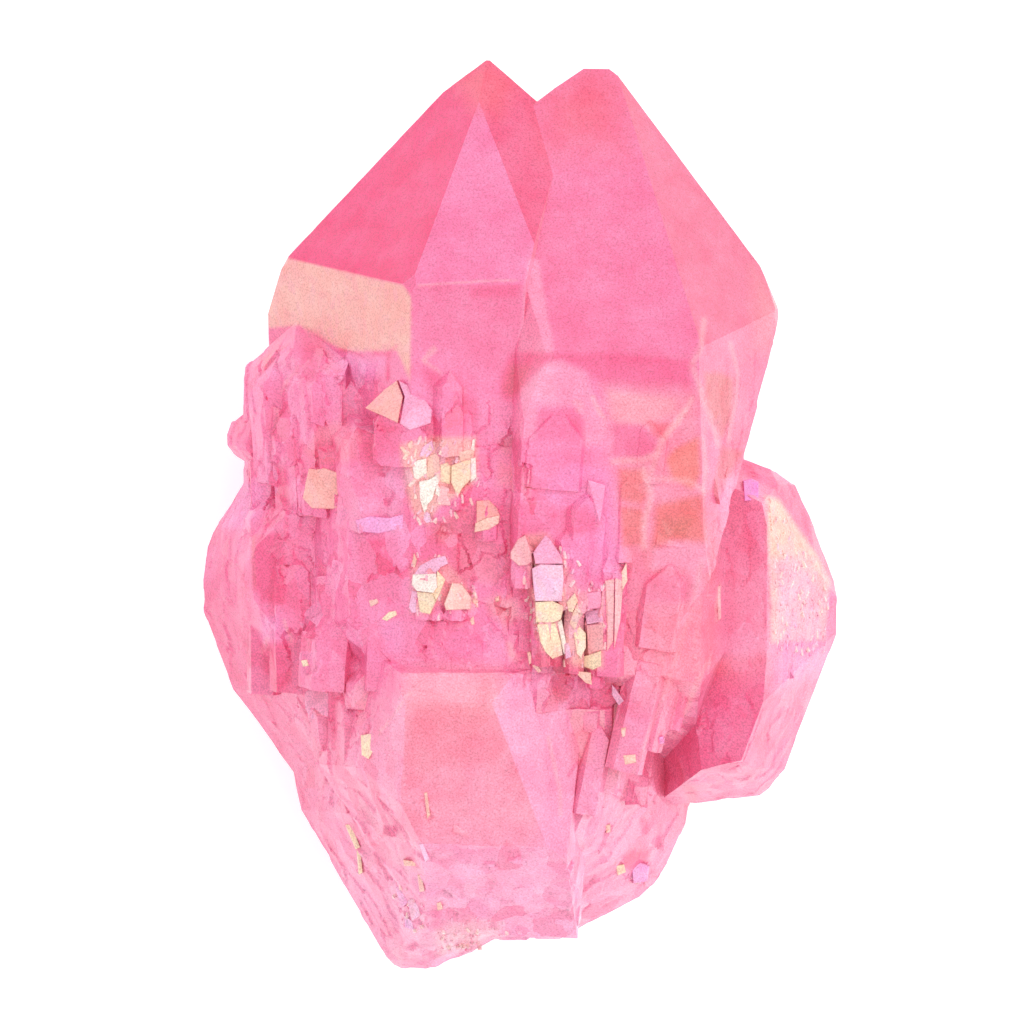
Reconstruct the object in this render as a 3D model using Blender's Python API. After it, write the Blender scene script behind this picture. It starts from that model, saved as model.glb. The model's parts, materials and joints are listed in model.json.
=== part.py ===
"""A cluster of aura quartz: two main points, side crystals and stepped small crystals, grown as one piece.

The cluster lies on its broken back. +Z is up, the points look along +Y and +X is the right of the photograph.
Every crystal is a closed solid with flat faces. A union makes one solid of them, and the back is cut flat.
"""

import math
import random
from dataclasses import dataclass

import bmesh
import bpy
from mathutils import Matrix, Vector

MM = 0.001

# Driving sizes, in millimetres
CLUSTER_LENGTH = 50.5
# The photograph's frame, in pixels: the cluster's middle and the length that it takes there
PICTURE_MIDDLE = (519.5, 516.5)
PICTURE_LENGTH = 910.0
PIXEL = CLUSTER_LENGTH / PICTURE_LENGTH

# Quartz: a point's face leans this far from the prism face below it
POINT_ANGLE = math.radians(38.2)
# The main points are tilted this far up from the surface that the cluster lies on
PITCH = 8.5
# The block that each large crystal is trimmed from, and the lowest that it reaches below the back
ROUGH_BLOCK = (42.0, 56.0, 27.0)
ROUGH_SINK = 1.0
BACK_BLOCK = 90.0
# Small crystals grow unevenly: how far a face of the tip is set back, and how near the axis a side may be
TIP_UNEVEN = 0.8
SIDE_UNEVEN = 0.68
# The foot of a small crystal counts as buried down to this share of its width
BURIED_SHARE = 0.6
# In a cascade: length to width, place in its cell, lean and spin either way, and how far the pitch goes, in degrees
STUBBY = (1.0, 1.9)
CELL_SHARE = (0.1, 0.9)
LEAN_SPREAD = 4.0
SPIN_SPREAD = 28.0
PITCH_SPREAD = (-4.0, 9.0)


def at(place, height):
    """The point, in millimetres, that shows at a pixel of the photograph, at a height above the back."""
    across = (place[0] - PICTURE_MIDDLE[0]) * PIXEL
    along = (PICTURE_MIDDLE[1] - place[1]) * PIXEL
    return Vector((across, along, height))


@dataclass(frozen=True)
class Slope:
    """A face through a pixel at a height, which climbs so much a millimetre to the right and down the picture."""

    place: tuple
    height: float
    right: float
    down: float

    def plane(self, inside):
        return at(self.place, self.height), Vector((-self.right, self.down, 1.0))


@dataclass(frozen=True)
class Rim:
    """A face from an edge of the outline. It climbs inwards by so much a millimetre, or falls where negative."""

    start: tuple
    end: tuple
    heights: tuple
    climb: float

    def plane(self, inside):
        first, last = at(self.start, self.heights[0]), at(self.end, self.heights[1])
        run = last - first
        inwards = Vector((-run.y, run.x, 0.0)).normalized()
        if inwards.dot(inside - first) < 0:
            inwards.negate()
        return first, run.cross(inwards + Vector((0.0, 0.0, self.climb)))


def trimmed(mesh, planes, inside):
    """Cuts a closed mesh by planes and keeps the side of each that the inner point is on."""
    for point, normal in planes:
        outwards = -normal if normal.dot(inside - point) > 0 else normal
        geometry = mesh.verts[:] + mesh.edges[:] + mesh.faces[:]
        cut = bmesh.ops.bisect_plane(mesh, geom=geometry, dist=1e-6, plane_co=point,
                                     plane_no=outwards, clear_outer=True)
        edges = [item for item in cut["geom_cut"] if isinstance(item, bmesh.types.BMEdge)]
        if edges:
            bmesh.ops.contextual_create(mesh, geom=edges)


@dataclass(frozen=True)
class Block:
    """A large crystal, as the flat faces around a point inside it."""

    name: str
    inside: tuple
    depth: float
    faces: tuple

    def build(self):
        mesh = bmesh.new()
        inside = at(self.inside, self.depth)
        bmesh.ops.create_cube(mesh, size=1.0)
        bmesh.ops.scale(mesh, vec=ROUGH_BLOCK, verts=mesh.verts)
        bmesh.ops.translate(mesh, vec=(0, 0, ROUGH_BLOCK[2] / 2 - ROUGH_SINK), verts=mesh.verts)
        trimmed(mesh, [face.plane(inside) for face in self.faces], inside)
        return mesh

    def top(self, place):
        """The height of this crystal's front at a pixel of the photograph, or 0 beside it."""
        inside = at(self.inside, self.depth)
        here = at(place, 0.0)
        highest, lowest = ROUGH_BLOCK[2], 0.0
        for face in self.faces:
            point, normal = face.plane(inside)
            height = point.z + (normal.x * (point.x - here.x) + normal.y * (point.y - here.y)) / normal.z
            under = point.z + (normal.x * (point.x - inside.x) + normal.y * (point.y - inside.y)) / normal.z
            if under > inside.z:
                highest = min(highest, height)
            else:
                lowest = max(lowest, height)
        return highest if highest > lowest else 0.0


def top_of(place):
    """The height of the main crystals at a pixel of the photograph, or 0 beside them."""
    return max(block.top(place) for block in MAIN_CRYSTALS)


@dataclass(frozen=True)
class Crystal:
    """A six-sided crystal: where its tip shows, how proud its front face stands at the shoulder, and its size."""

    name: str
    tip: tuple
    proud: float
    width: float
    length: float
    lean: float = 0.0
    spin: float = 0.0
    pitch: float = PITCH
    ends: int = 1

    def build(self):
        uneven = random.Random(self.name)
        apothem = self.width / 2 * math.cos(math.pi / 6)
        point = apothem / math.tan(POINT_ANGLE)
        mesh = bmesh.new()
        bmesh.ops.create_cone(mesh, cap_ends=True, segments=6, radius1=self.width / 2,
                              radius2=self.width / 2, depth=self.length,
                              matrix=Matrix.Translation((0, 0, -self.length / 2)))
        bmesh.ops.rotate(mesh, verts=mesh.verts, cent=(0, 0, 0), matrix=Matrix.Rotation(math.pi / 6, 3, "Z"))
        planes = []
        for side in range(6):
            turn = math.radians(60 * side)
            aside = Vector((math.sin(turn), -math.cos(turn), 0.0))
            outwards = aside * math.cos(POINT_ANGLE)
            upwards = Vector((0.0, 0.0, math.sin(POINT_ANGLE)))
            inset = uneven.uniform(0.0, TIP_UNEVEN) * apothem
            planes.append((Vector((0, 0, -inset)), outwards + upwards))
            planes.append((aside * apothem * uneven.uniform(SIDE_UNEVEN, 1.0), aside))
            if self.ends == 2:
                planes.append((Vector((0, 0, inset - self.length)), outwards - upwards))
        trimmed(mesh, planes, Vector((0, 0, -self.length / 2)))
        bmesh.ops.transform(mesh, matrix=self.stand(apothem, point), verts=mesh.verts)
        return mesh

    def buried(self):
        """Whether the main crystals cover the crystal's foot, a part of its width below its front face."""
        foot = (self.tip[0], self.tip[1] + self.length / PIXEL)
        front = top_of(self.tip) + self.proud - self.length * math.sin(math.radians(self.pitch))
        return top_of(foot) > front - self.width * BURIED_SHARE

    def stand(self, apothem, point):
        """The matrix that lays the crystal down: its axis along +Y, then pitched, turned and put at its tip."""
        turned = (Matrix.Rotation(math.radians(-self.lean), 4, "Z")
                  @ Matrix.Rotation(math.radians(self.pitch - 90), 4, "X")
                  @ Matrix.Rotation(math.radians(self.spin), 4, "Z"))
        rise = point * math.sin(math.radians(self.pitch))
        sink = apothem * math.cos(math.radians(self.pitch))
        shoulder = (self.tip[0], self.tip[1] + point / PIXEL)
        front = top_of(shoulder) + self.proud
        return Matrix.Translation(at(self.tip, front - sink + rise)) @ turned


LEFT_POINT = Block("left_point", (400, 330), 12.0, (
    Slope((412, 288), 21.7, 1.139, 0.915),
    Slope((412, 288), 21.7, 0.0, 0.5),
    Slope((484, 107), 16.6, -0.4, 0.653),
    Slope((412, 288), 21.7, 1.362, -0.15),
    Slope((412, 288), 21.7, 0.0, -0.15),
    Slope((411, 291), 21.5, 0.75, 0.4),
    Rim((267, 345), (267, 290), (10.5, 10.7), -1.4),
    Rim((266, 288), (288, 256), (10.9, 12.2), 2.6),
    Rim((286, 258), (443, 93), (12.3, 13.8), -1.0),
    Rim((443, 93), (490, 61), (13.8, 14.9), -1.1),
    Rim((490, 61), (537, 103), (14.9, 15.3), -1.3),
    Rim((490, 61), (506, 66), (14.9, 15.0), 2.0),
    Rim((550, 190), (524, 345), (18.0, 21.0), 4.0),
    Slope((412, 288), 2.0, 0.0, -0.15),
    Rim((260, 720), (600, 720), (10.0, 10.0), 6.0),
))

RIGHT_POINT = Block("right_point", (610, 360), 13.0, (
    Slope((600, 356), 23.0, -0.03, 0.55),
    Slope((697, 350), 22.8, -1.112, 0.8735),
    Slope((600, 356), 23.0, -0.03, -0.15),
    Slope((600, 540), 21.5, -0.05, -0.32),
    Slope((697, 352), 22.8, -1.597, -0.106),
    Rim((530, 287), (512, 400), (21.3, 21.6), 1.1),
    Rim((537, 103), (582, 69), (15.3, 14.4), 2.2),
    Rim((537, 103), (582, 69), (15.3, 14.4), -1.1),
    Rim((582, 68), (606, 66), (14.4, 14.5), -1.0),
    Rim((606, 67), (622, 80), (14.5, 14.5), 1.8),
    Rim((620, 79), (761, 268), (14.5, 15.0), -1.0),
    Rim((760, 268), (775, 305), (15.0, 15.6), 3.0),
    Rim((760, 268), (775, 305), (15.0, 15.6), -1.2),
    Rim((776, 330), (742, 457), (16.0, 18.3), -1.3),
    Rim((776, 305), (776, 330), (15.8, 15.8), 3.0),
    Slope((600, 356), 3.0, 0.0, -0.15),
    Rim((400, 840), (760, 800), (10.0, 10.0), 6.0),
    Rim((436, 300), (436, 700), (8.0, 8.0), 3.0),
))

RIGHT_SIDE = Block("right_side", (765, 640), 9.0, (
    Slope((765, 500), 17.4, 0.5, -0.08),
    Slope((765, 500), 17.4, -0.72, -0.08),
    Slope((764, 495), 17.4, -0.95, 0.7),
    Slope((764, 495), 17.4, 0.25, 0.8),
    Rim((752, 456), (797, 487), (14.5, 13.8), 2.5),
    Rim((752, 456), (797, 487), (14.5, 13.8), -1.2),
    Rim((798, 486), (805, 508), (13.8, 13.5), 2.4),
    Rim((803, 504), (838, 580), (13.5, 12.0), 1.6),
    Rim((803, 504), (838, 580), (13.5, 12.0), -1.2),
    Rim((837, 582), (837, 632), (12.0, 11.4), 1.4),
    Rim((837, 582), (837, 632), (12.0, 11.4), -1.6),
    Rim((838, 630), (784, 772), (11.4, 9.6), 2.4),
    Rim((838, 630), (784, 772), (11.4, 9.6), -1.2),
    Rim((785, 770), (762, 795), (9.6, 9.2), 3.0),
    Rim((765, 796), (688, 805), (9.2, 8.6), 3.0),
    Rim((765, 796), (688, 805), (9.2, 8.6), -1.0),
    Rim((645, 480), (665, 800), (12.5, 10.0), 2.0),
    Rim((736, 452), (752, 456), (13.6, 13.6), 1.5),
))

LEFT_SIDE = Block("left_side", (290, 620), 9.0, (
    Rim((247, 477), (212, 530), (8.6, 8.2), 1.9),
    Rim((247, 477), (212, 530), (8.6, 8.2), -1.2),
    Rim((212, 530), (202, 580), (8.2, 8.0), 1.9),
    Rim((202, 580), (203, 612), (8.0, 7.8), 1.7),
    Rim((202, 580), (203, 612), (8.0, 7.8), -1.5),
    Rim((203, 612), (232, 690), (7.8, 7.2), 1.7),
    Rim((203, 612), (232, 690), (7.8, 7.2), -1.3),
    Rim((232, 690), (292, 774), (7.2, 6.5), 1.8),
    Rim((232, 690), (292, 774), (7.2, 6.5), -1.3),
    Slope((253, 560), 12.9, 0.62, -0.1),
    Slope((285, 560), 14.0, 0.25, -0.1),
    Slope((272, 505), 13.6, 0.2, 0.9),
    Rim((247, 477), (300, 440), (8.6, 12.0), 2.0),
    Rim((290, 800), (420, 800), (7.0, 7.0), 6.0),
    Rim((440, 480), (440, 860), (8.0, 8.0), 3.0),
))

LEFT_SHOULDER = Block("left_shoulder", (300, 420), 10.0, (
    Rim((272, 343), (250, 365), (11.4, 10.4), 2.4),
    Rim((249, 366), (243, 385), (10.4, 10.0), 2.0),
    Rim((243, 385), (243, 475), (10.0, 9.2), 1.7),
    Rim((243, 385), (243, 475), (10.0, 9.2), -1.3),
    Slope((286, 385), 14.8, 0.8, -0.1),
    Slope((322, 385), 16.9, 0.3, -0.1),
    Slope((300, 370), 15.8, 0.35, 1.1),
    Slope((300, 420), 6.0, 0.0, -0.3),
    Rim((272, 343), (340, 326), (11.4, 12.4), -1.2),
    Rim((376, 350), (370, 520), (12.0, 12.0), 3.0),
    Rim((240, 520), (360, 540), (9.0, 9.0), 2.2),
))

LOWER_BODY = Block("lower_body", (430, 740), 8.0, (
    Rim((290, 765), (300, 812), (6.5, 6.3), 1.9),
    Rim((290, 765), (300, 812), (6.5, 6.3), -1.2),
    Rim((300, 812), (385, 960), (6.3, 5.5), 2.2),
    Rim((300, 812), (385, 960), (6.3, 5.5), -1.1),
    Rim((385, 960), (401, 971), (5.5, 5.4), 2.3),
    Rim((402, 971), (434, 971), (5.4, 5.4), 2.2),
    Rim((402, 971), (434, 971), (5.4, 5.4), -1.0),
    Rim((434, 971), (500, 943), (5.4, 5.8), 2.3),
    Rim((434, 971), (500, 943), (5.4, 5.8), -1.0),
    Slope((460, 700), 19.0, 0.0, -0.22),
    Slope((400, 700), 18.5, 0.35, -0.2),
    Slope((330, 700), 16.1, 0.65, -0.2),
    Slope((560, 700), 18.4, -0.3, -0.2),
    Rim((200, 600), (840, 600), (8.0, 8.0), 2.0),
    Rim((530, 600), (506, 943), (10.0, 9.0), 3.0),
))

LOWER_RIGHT = Block("lower_right", (590, 780), 8.0, (
    Rim((498, 943), (560, 942), (5.8, 5.8), 2.2),
    Rim((498, 943), (560, 942), (5.8, 5.8), -1.0),
    Rim((560, 942), (640, 900), (5.8, 6.0), 2.2),
    Rim((560, 942), (640, 900), (5.8, 6.0), -1.0),
    Rim((640, 900), (668, 866), (6.0, 6.2), 2.2),
    Rim((668, 866), (686, 828), (6.2, 6.6), 2.0),
    Rim((668, 866), (686, 828), (6.2, 6.6), -1.2),
    Rim((687, 828), (690, 740), (6.6, 7.0), 2.6),
    Slope((560, 700), 18.9, 0.05, -0.24),
    Slope((610, 720), 18.6, -0.45, -0.24),
    Slope((660, 720), 16.6, -0.9, -0.2),
    Rim((430, 600), (470, 943), (9.0, 9.0), 3.0),
    Rim((480, 610), (720, 610), (8.0, 8.0), 2.0),
))

LOWER_POINT = Block("lower_point", (450, 760), 17.0, (
    Slope((450, 700), 21.2, 0.0, 0.42),
    Slope((450, 700), 21.2, 0.02, -0.25),
    Slope((408, 700), 21.2, 1.0, -0.2),
    Slope((493, 705), 21.2, -0.593, -0.016),
    Slope((372, 760), 18.9, 1.9, 0.3),
    Slope((450, 845), 19.0, 0.05, -1.2),
    Slope((450, 760), 13.2, 0.0, 0.0),
    Rim((322, 770), (408, 900), (13.2, 13.2), 2.4),
    Rim((420, 656), (545, 656), (18.0, 18.0), 3.0),
    Rim((604, 660), (584, 880), (14.0, 13.0), 5.0),
))

CORE = Block("core", (500, 520), 9.0, (
    Slope((470, 400), 20.6, 0.0, -0.04),
    Slope((360, 500), 18.6, 0.4, -0.06),
    Slope((300, 500), 16.2, 0.8, -0.06),
    Slope((620, 500), 20.8, -0.12, -0.04),
    Slope((690, 500), 19.6, -0.55, -0.04),
    Slope((700, 520), 19.2, -2.4, -0.04),
    Rim((255, 440), (262, 700), (8.0, 8.0), 2.0),
    Rim((255, 440), (262, 700), (8.0, 8.0), -1.3),
    Rim((262, 650), (335, 745), (8.0, 8.0), 2.0),
    Rim((744, 440), (752, 600), (9.0, 9.0), 6.0),
    Rim((750, 600), (694, 730), (15.0, 14.0), 6.0),
    Rim((744, 440), (752, 600), (9.0, 9.0), -1.3),
    Rim((255, 430), (330, 350), (9.0, 11.0), 2.0),
    Rim((300, 352), (745, 352), (10.0, 10.0), 2.0),
    Rim((300, 800), (700, 800), (6.0, 6.0), 2.0),
))

MAIN_CRYSTALS = (LEFT_POINT, RIGHT_POINT, RIGHT_SIDE, LEFT_SIDE, LEFT_SHOULDER, LOWER_BODY, LOWER_RIGHT,
                 LOWER_POINT, CORE)

# The small crystals of the front, which stand proud of the main ones
SMALL_CRYSTALS = (
    Crystal("shoulder_step", (277, 336), 0.7, 4.0, 8.0, lean=-3),
    Crystal("shoulder_prism", (318, 328), 0.5, 4.3, 9.0, lean=-2, spin=8),
    Crystal("edge_bud", (248, 394), 0.3, 2.7, 5.0, lean=-3, ends=2),
    Crystal("edge_prism", (254, 402), 1.0, 2.6, 4.6, lean=-6, ends=2),
    Crystal("left_step", (360, 344), 0.5, 4.4, 8.0, spin=-10),
    Crystal("left_block", (374, 430), 0.6, 4.6, 5.4, spin=5),
    Crystal("peach_block", (322, 450), 0.9, 2.8, 3.6, spin=-22),
    Crystal("window_point", (404, 374), 1.1, 3.9, 5.0, spin=30),
    Crystal("sparkle_step", (446, 346), 0.5, 3.4, 6.0, spin=12),
    Crystal("rib_left", (464, 396), 0.2, 1.8, 5.0),
    Crystal("rib_middle", (482, 372), 0.25, 2.4, 8.0),
    Crystal("rib_right", (503, 392), 0.2, 1.9, 6.5),
    Crystal("dome_point", (561, 361), 0.6, 5.0, 7.0, lean=4),
    Crystal("lilac_point", (586, 449), 0.9, 4.6, 8.0, lean=4, spin=12),
    Crystal("under_lilac", (580, 500), 1.2, 3.4, 6.0, lean=4),
    Crystal("cream_tip", (486, 496), 0.8, 1.7, 2.4, spin=20),
    Crystal("column_tall", (546, 533), 1.1, 2.0, 7.4),
    Crystal("column_left", (523, 532), 0.8, 1.5, 3.0),
    Crystal("column_mid", (573, 588), 1.0, 1.3, 4.6),
    Crystal("column_next", (594, 606), 1.0, 1.4, 4.4),
    Crystal("column_right", (612, 548), 0.9, 1.9, 7.0, lean=3),
    Crystal("cream_block", (436, 556), 0.9, 2.3, 3.4, spin=25),
    Crystal("cream_bud", (458, 579), 0.8, 1.6, 2.2, spin=10),
    Crystal("band_step", (655, 392), 0.4, 3.2, 5.0, lean=6),
    Crystal("pink_block", (668, 540), 0.7, 3.4, 6.0, lean=8),
    Crystal("lilac_facet", (322, 684), 0.9, 2.0, 3.6, lean=-6),
    Crystal("flank_prism", (268, 478), 0.6, 2.8, 12.0, spin=-14),
    Crystal("flank_inner", (296, 530), 0.6, 3.2, 9.0, spin=-8),
)


@dataclass(frozen=True)
class Cascade:
    """Small crystals that step down a box of the photograph: rows and columns, their widths, how proud, lean."""

    name: str
    box: tuple
    rows: int
    columns: int
    widths: tuple
    proud: tuple
    lean: float = 0.0

    def crystals(self):
        """The crystals whose foot is buried in the main ones."""
        uneven = random.Random(self.name)
        left, top, right, bottom = self.box
        for row in range(self.rows):
            for column in range(self.columns):
                across = left + (right - left) * (column + uneven.uniform(*CELL_SHARE)) / self.columns
                down = top + (bottom - top) * (row + uneven.uniform(*CELL_SHARE)) / self.rows
                width = uneven.uniform(*self.widths)
                made = Crystal(f"{self.name}_{row}_{column}", (across, down), uneven.uniform(*self.proud), width,
                               width * uneven.uniform(*STUBBY),
                               lean=self.lean + uneven.uniform(-LEAN_SPREAD, LEAN_SPREAD),
                               spin=uneven.uniform(-SPIN_SPREAD, SPIN_SPREAD),
                               pitch=PITCH + uneven.uniform(*PITCH_SPREAD))
                if made.buried():
                    yield made


CASCADES = (
    Cascade("left_cascade", (266, 366, 350, 520), 4, 2, (3.8, 5.4), (0.0, 0.3), -5),
    Cascade("left_middle", (300, 540, 404, 680), 3, 3, (3.2, 4.8), (0.0, 0.25)),
    Cascade("bright_steps", (416, 440, 480, 520), 3, 2, (2.0, 3.2), (0.1, 0.5)),
    Cascade("middle_steps", (424, 540, 532, 650), 3, 3, (2.2, 3.8), (0.0, 0.4)),
    Cascade("column_steps", (534, 600, 620, 690), 3, 3, (1.3, 2.2), (0.2, 0.7), 3),
    Cascade("window_steps", (618, 372, 700, 560), 3, 2, (2.8, 4.4), (0.0, 0.25), 6),
    Cascade("lower_left", (312, 690, 380, 830), 3, 2, (2.6, 4.0), (0.1, 0.35), -8),
    Cascade("lower_end", (388, 860, 490, 920), 2, 4, (2.0, 3.2), (0.1, 0.4), -4),
    Cascade("lower_right_steps", (590, 720, 664, 870), 4, 2, (2.2, 3.6), (0.1, 0.4), 13),
)
RIBS = 5
RIB_TIPS = ((706, 560), (604, 700))


def ribs():
    """The long crystals that run down the right of the lower end, side by side."""
    for rib in range(RIBS):
        along = rib / (RIBS - 1)
        across = RIB_TIPS[0][0] + (RIB_TIPS[1][0] - RIB_TIPS[0][0]) * along
        down = RIB_TIPS[0][1] + (RIB_TIPS[1][1] - RIB_TIPS[0][1]) * along
        yield Crystal(f"rib_{rib}", (across, down), 0.3, 2.4, 9.5 - 0.8 * rib, lean=15 - rib, pitch=2.0)


def small_crystals():
    """All the small crystals, in the order in which they are made."""
    yield from SMALL_CRYSTALS
    yield from ribs()
    for cascade in CASCADES:
        yield from cascade.crystals()


def add_object(name, mesh, collection):
    """Turns a bmesh in millimetres into an object in metres, with its faces looking outwards."""
    bmesh.ops.recalc_face_normals(mesh, faces=mesh.faces)
    bmesh.ops.scale(mesh, vec=(MM, MM, MM), verts=mesh.verts)
    data = bpy.data.meshes.new(name)
    mesh.to_mesh(data)
    mesh.free()
    made = bpy.data.objects.new(name, data)
    collection.objects.link(made)
    return made


def helper(made):
    """Keeps an operand out of the render and out of the way."""
    made.hide_render = True
    made.display_type = "WIRE"
    return made


def quartz_material():
    """Rose-coated quartz: clear crystal under a thin metal vapour coat."""
    material = bpy.data.materials.new("coated_quartz")
    material.use_nodes = True
    shader = material.node_tree.nodes["Principled BSDF"]
    shader.inputs["Base Color"].default_value = (0.9, 0.21, 0.4, 1.0)
    shader.inputs["Roughness"].default_value = 0.2
    shader.inputs["Metallic"].default_value = 0.0
    return material


def clear_scene():
    """Removes the objects that the scene starts with."""
    for item in list(bpy.data.objects):
        bpy.data.objects.remove(item, do_unlink=True)


def new_collection(name):
    """A collection in the scene, shown under its name."""
    made = bpy.data.collections.new(name)
    bpy.context.scene.collection.children.link(made)
    return made


def main():
    clear_scene()
    cluster = new_collection("aura_quartz_cluster")
    operands = new_collection("crystals_to_join")
    first = MAIN_CRYSTALS[0]
    body = add_object("quartz_cluster", first.build(), cluster)
    body.data.materials.append(quartz_material())
    for crystal in MAIN_CRYSTALS[1:] + tuple(small_crystals()):
        helper(add_object(crystal.name, crystal.build(), operands))
    join = body.modifiers.new("grown_together", "BOOLEAN")
    join.operation = "UNION"
    join.solver = "EXACT"
    join.operand_type = "COLLECTION"
    join.collection = operands
    below = bmesh.new()
    bmesh.ops.create_cube(below, size=BACK_BLOCK, matrix=Matrix.Translation((0, 0, -BACK_BLOCK / 2)))
    cutters = new_collection("cutters")
    helper(add_object("below_the_back", below, cutters))
    cut = body.modifiers.new("flat_back", "BOOLEAN")
    cut.operation = "DIFFERENCE"
    cut.solver = "EXACT"
    cut.operand_type = "COLLECTION"
    cut.collection = cutters


main()
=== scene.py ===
"""Looks of the aura quartz cluster: coated crystal faces, growth steps, druse, floor, light and camera."""

import json
import logging
import math
from dataclasses import dataclass
from enum import Enum
from typing import Optional, Sequence

import bmesh
import bpy
import numpy as np
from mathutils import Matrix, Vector
from mathutils.bvhtree import BVHTree

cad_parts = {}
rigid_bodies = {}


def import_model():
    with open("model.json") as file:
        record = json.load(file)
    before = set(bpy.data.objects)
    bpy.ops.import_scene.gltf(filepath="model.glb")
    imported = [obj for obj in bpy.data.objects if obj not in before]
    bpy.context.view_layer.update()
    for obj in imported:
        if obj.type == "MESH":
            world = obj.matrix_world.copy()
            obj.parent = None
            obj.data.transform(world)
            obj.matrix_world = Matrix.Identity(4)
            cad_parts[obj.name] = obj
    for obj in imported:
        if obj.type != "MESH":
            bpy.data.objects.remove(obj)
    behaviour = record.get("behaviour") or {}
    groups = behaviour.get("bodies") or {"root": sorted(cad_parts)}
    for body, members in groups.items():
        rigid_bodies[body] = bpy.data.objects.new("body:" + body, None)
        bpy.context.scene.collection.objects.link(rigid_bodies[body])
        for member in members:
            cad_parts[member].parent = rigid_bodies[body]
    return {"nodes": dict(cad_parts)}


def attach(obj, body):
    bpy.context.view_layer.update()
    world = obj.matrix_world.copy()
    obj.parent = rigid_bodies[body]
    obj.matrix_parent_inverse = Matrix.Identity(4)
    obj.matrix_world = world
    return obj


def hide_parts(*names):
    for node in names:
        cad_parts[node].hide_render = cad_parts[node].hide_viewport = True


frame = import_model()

logging.basicConfig(level=logging.INFO, format="%(message)s")
log = logging.getLogger("aura_quartz")

MM = 0.001
NODE = "quartz_cluster"
SLOT = "coated_quartz"
BODY = "root"

Pixel = tuple[float, float]


def linear(colour: str) -> tuple[float, float, float, float]:
    """Turns an sRGB hex colour into the linear values that a node socket takes.

    Args:
        colour: the colour as "#RRGGBB".

    Returns:
        Red, green, blue and an alpha of one, all linear.
    """
    parts = (int(colour[place:place + 2], 16) / 255 for place in (1, 3, 5))
    red, green, blue = (part / 12.92 if part <= 0.04045 else ((part + 0.055) / 1.055) ** 2.4 for part in parts)
    return red, green, blue, 1.0


class Tint(Enum):
    """Hues of the crystal and its coat, and of painted shade, light and reflections on it, as sRGB hex."""

    CRIMSON = "#EA1F74"
    DEEP_MAGENTA = "#F05088"
    MAGENTA = "#F26A9C"
    ROSE_RED = "#E85C88"
    DEEP_ROSE = "#E6688E"
    ROSE = "#F278A6"
    MID_ROSE = "#FF86B8"
    SOFT_ROSE = "#F27EAE"
    PALE_ROSE = "#FDA0C2"
    CORAL_ROSE = "#FC90A6"
    RED = "#F05A6E"
    CORAL = "#F890A0"
    ORANGE_RED = "#F27E76"
    RUSSET = "#EA706C"
    BROWN_RED = "#DE6C78"
    OLIVE_BROWN = "#D08074"
    PEACH = "#F3AAA4"
    SALMON = "#FFB4AE"
    PALE_PEACH = "#FFCDBC"
    CREAM = "#FFE8C2"
    IVORY = "#FFFAEE"
    WHITE = "#FFF3EE"
    LILAC = "#F6A0DA"
    PALE_LILAC = "#FCC8E8"
    PALE_LILAC_ROSE = "#FCA8CE"
    PINK_LILAC = "#FBB0E8"
    VIOLET = "#F79AE8"
    PALE_VEIN = "#FFBCC0"

    @property
    def rgb(self) -> np.ndarray:
        """The linear colour as three numbers."""
        return np.array(linear(self.value)[:3])


class Cover(Enum):
    """How a zone takes hold of the faces in it."""

    WHOLE_FACETS = "whole facets"
    PAINTED = "painted"


@dataclass(frozen=True)
class PictureFrame:
    """The photograph's frame on the cluster, which gives a place in millimetres for a pixel."""

    middle: Pixel = (519.5, 516.5)
    pixel_mm: float = 50.5 / 910.0

    def pixels(self, places: np.ndarray) -> np.ndarray:
        """Gives the pixels at which places show.

        Args:
            places: rows of X, Y and Z in millimetres.

        Returns:
            Rows of two numbers, across and down the photograph.
        """
        across = places[:, 0] / self.pixel_mm + self.middle[0]
        down = self.middle[1] - places[:, 1] / self.pixel_mm
        return np.stack([across, down], axis=1)

    def place(self, pixel: Pixel) -> tuple[float, float]:
        """Gives the X and Y in millimetres that show at a pixel."""
        return (pixel[0] - self.middle[0]) * self.pixel_mm, (self.middle[1] - pixel[1]) * self.pixel_mm


PICTURE = PictureFrame()


@dataclass(frozen=True)
class SmoothNoise:
    """Seeded value noise in space, for relief and for tones."""

    size_mm: float
    seed: int = 0

    def lattice(self, cells: np.ndarray) -> np.ndarray:
        """Gives each lattice cell its own number from 0 to 1."""
        mixed = (cells[..., 0] * 73856093) ^ (cells[..., 1] * 19349663) ^ (cells[..., 2] * 83492791)
        mixed = (mixed + self.seed * 2654435761) & 0xFFFFFFFF
        mixed = ((mixed >> 16) ^ mixed) * 0x45D9F3B & 0xFFFFFFFF
        mixed = ((mixed >> 16) ^ mixed) * 0x45D9F3B & 0xFFFFFFFF
        return ((mixed >> 16) ^ mixed) / 0xFFFFFFFF

    def at(self, places: np.ndarray) -> np.ndarray:
        """Gives the noise at places.

        Args:
            places: rows of X, Y and Z in millimetres.

        Returns:
            One number from 0 to 1 for each row.
        """
        scaled = places / self.size_mm
        cell = np.floor(scaled).astype(np.int64)
        part = scaled - cell
        part = part * part * (3 - 2 * part)
        total = np.zeros(len(places))
        for corner in range(8):
            step = np.array([corner & 1, corner >> 1 & 1, corner >> 2 & 1])
            share = np.prod(np.where(step, part, 1 - part), axis=1)
            total += share * self.lattice(cell + step)
        return total


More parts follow.
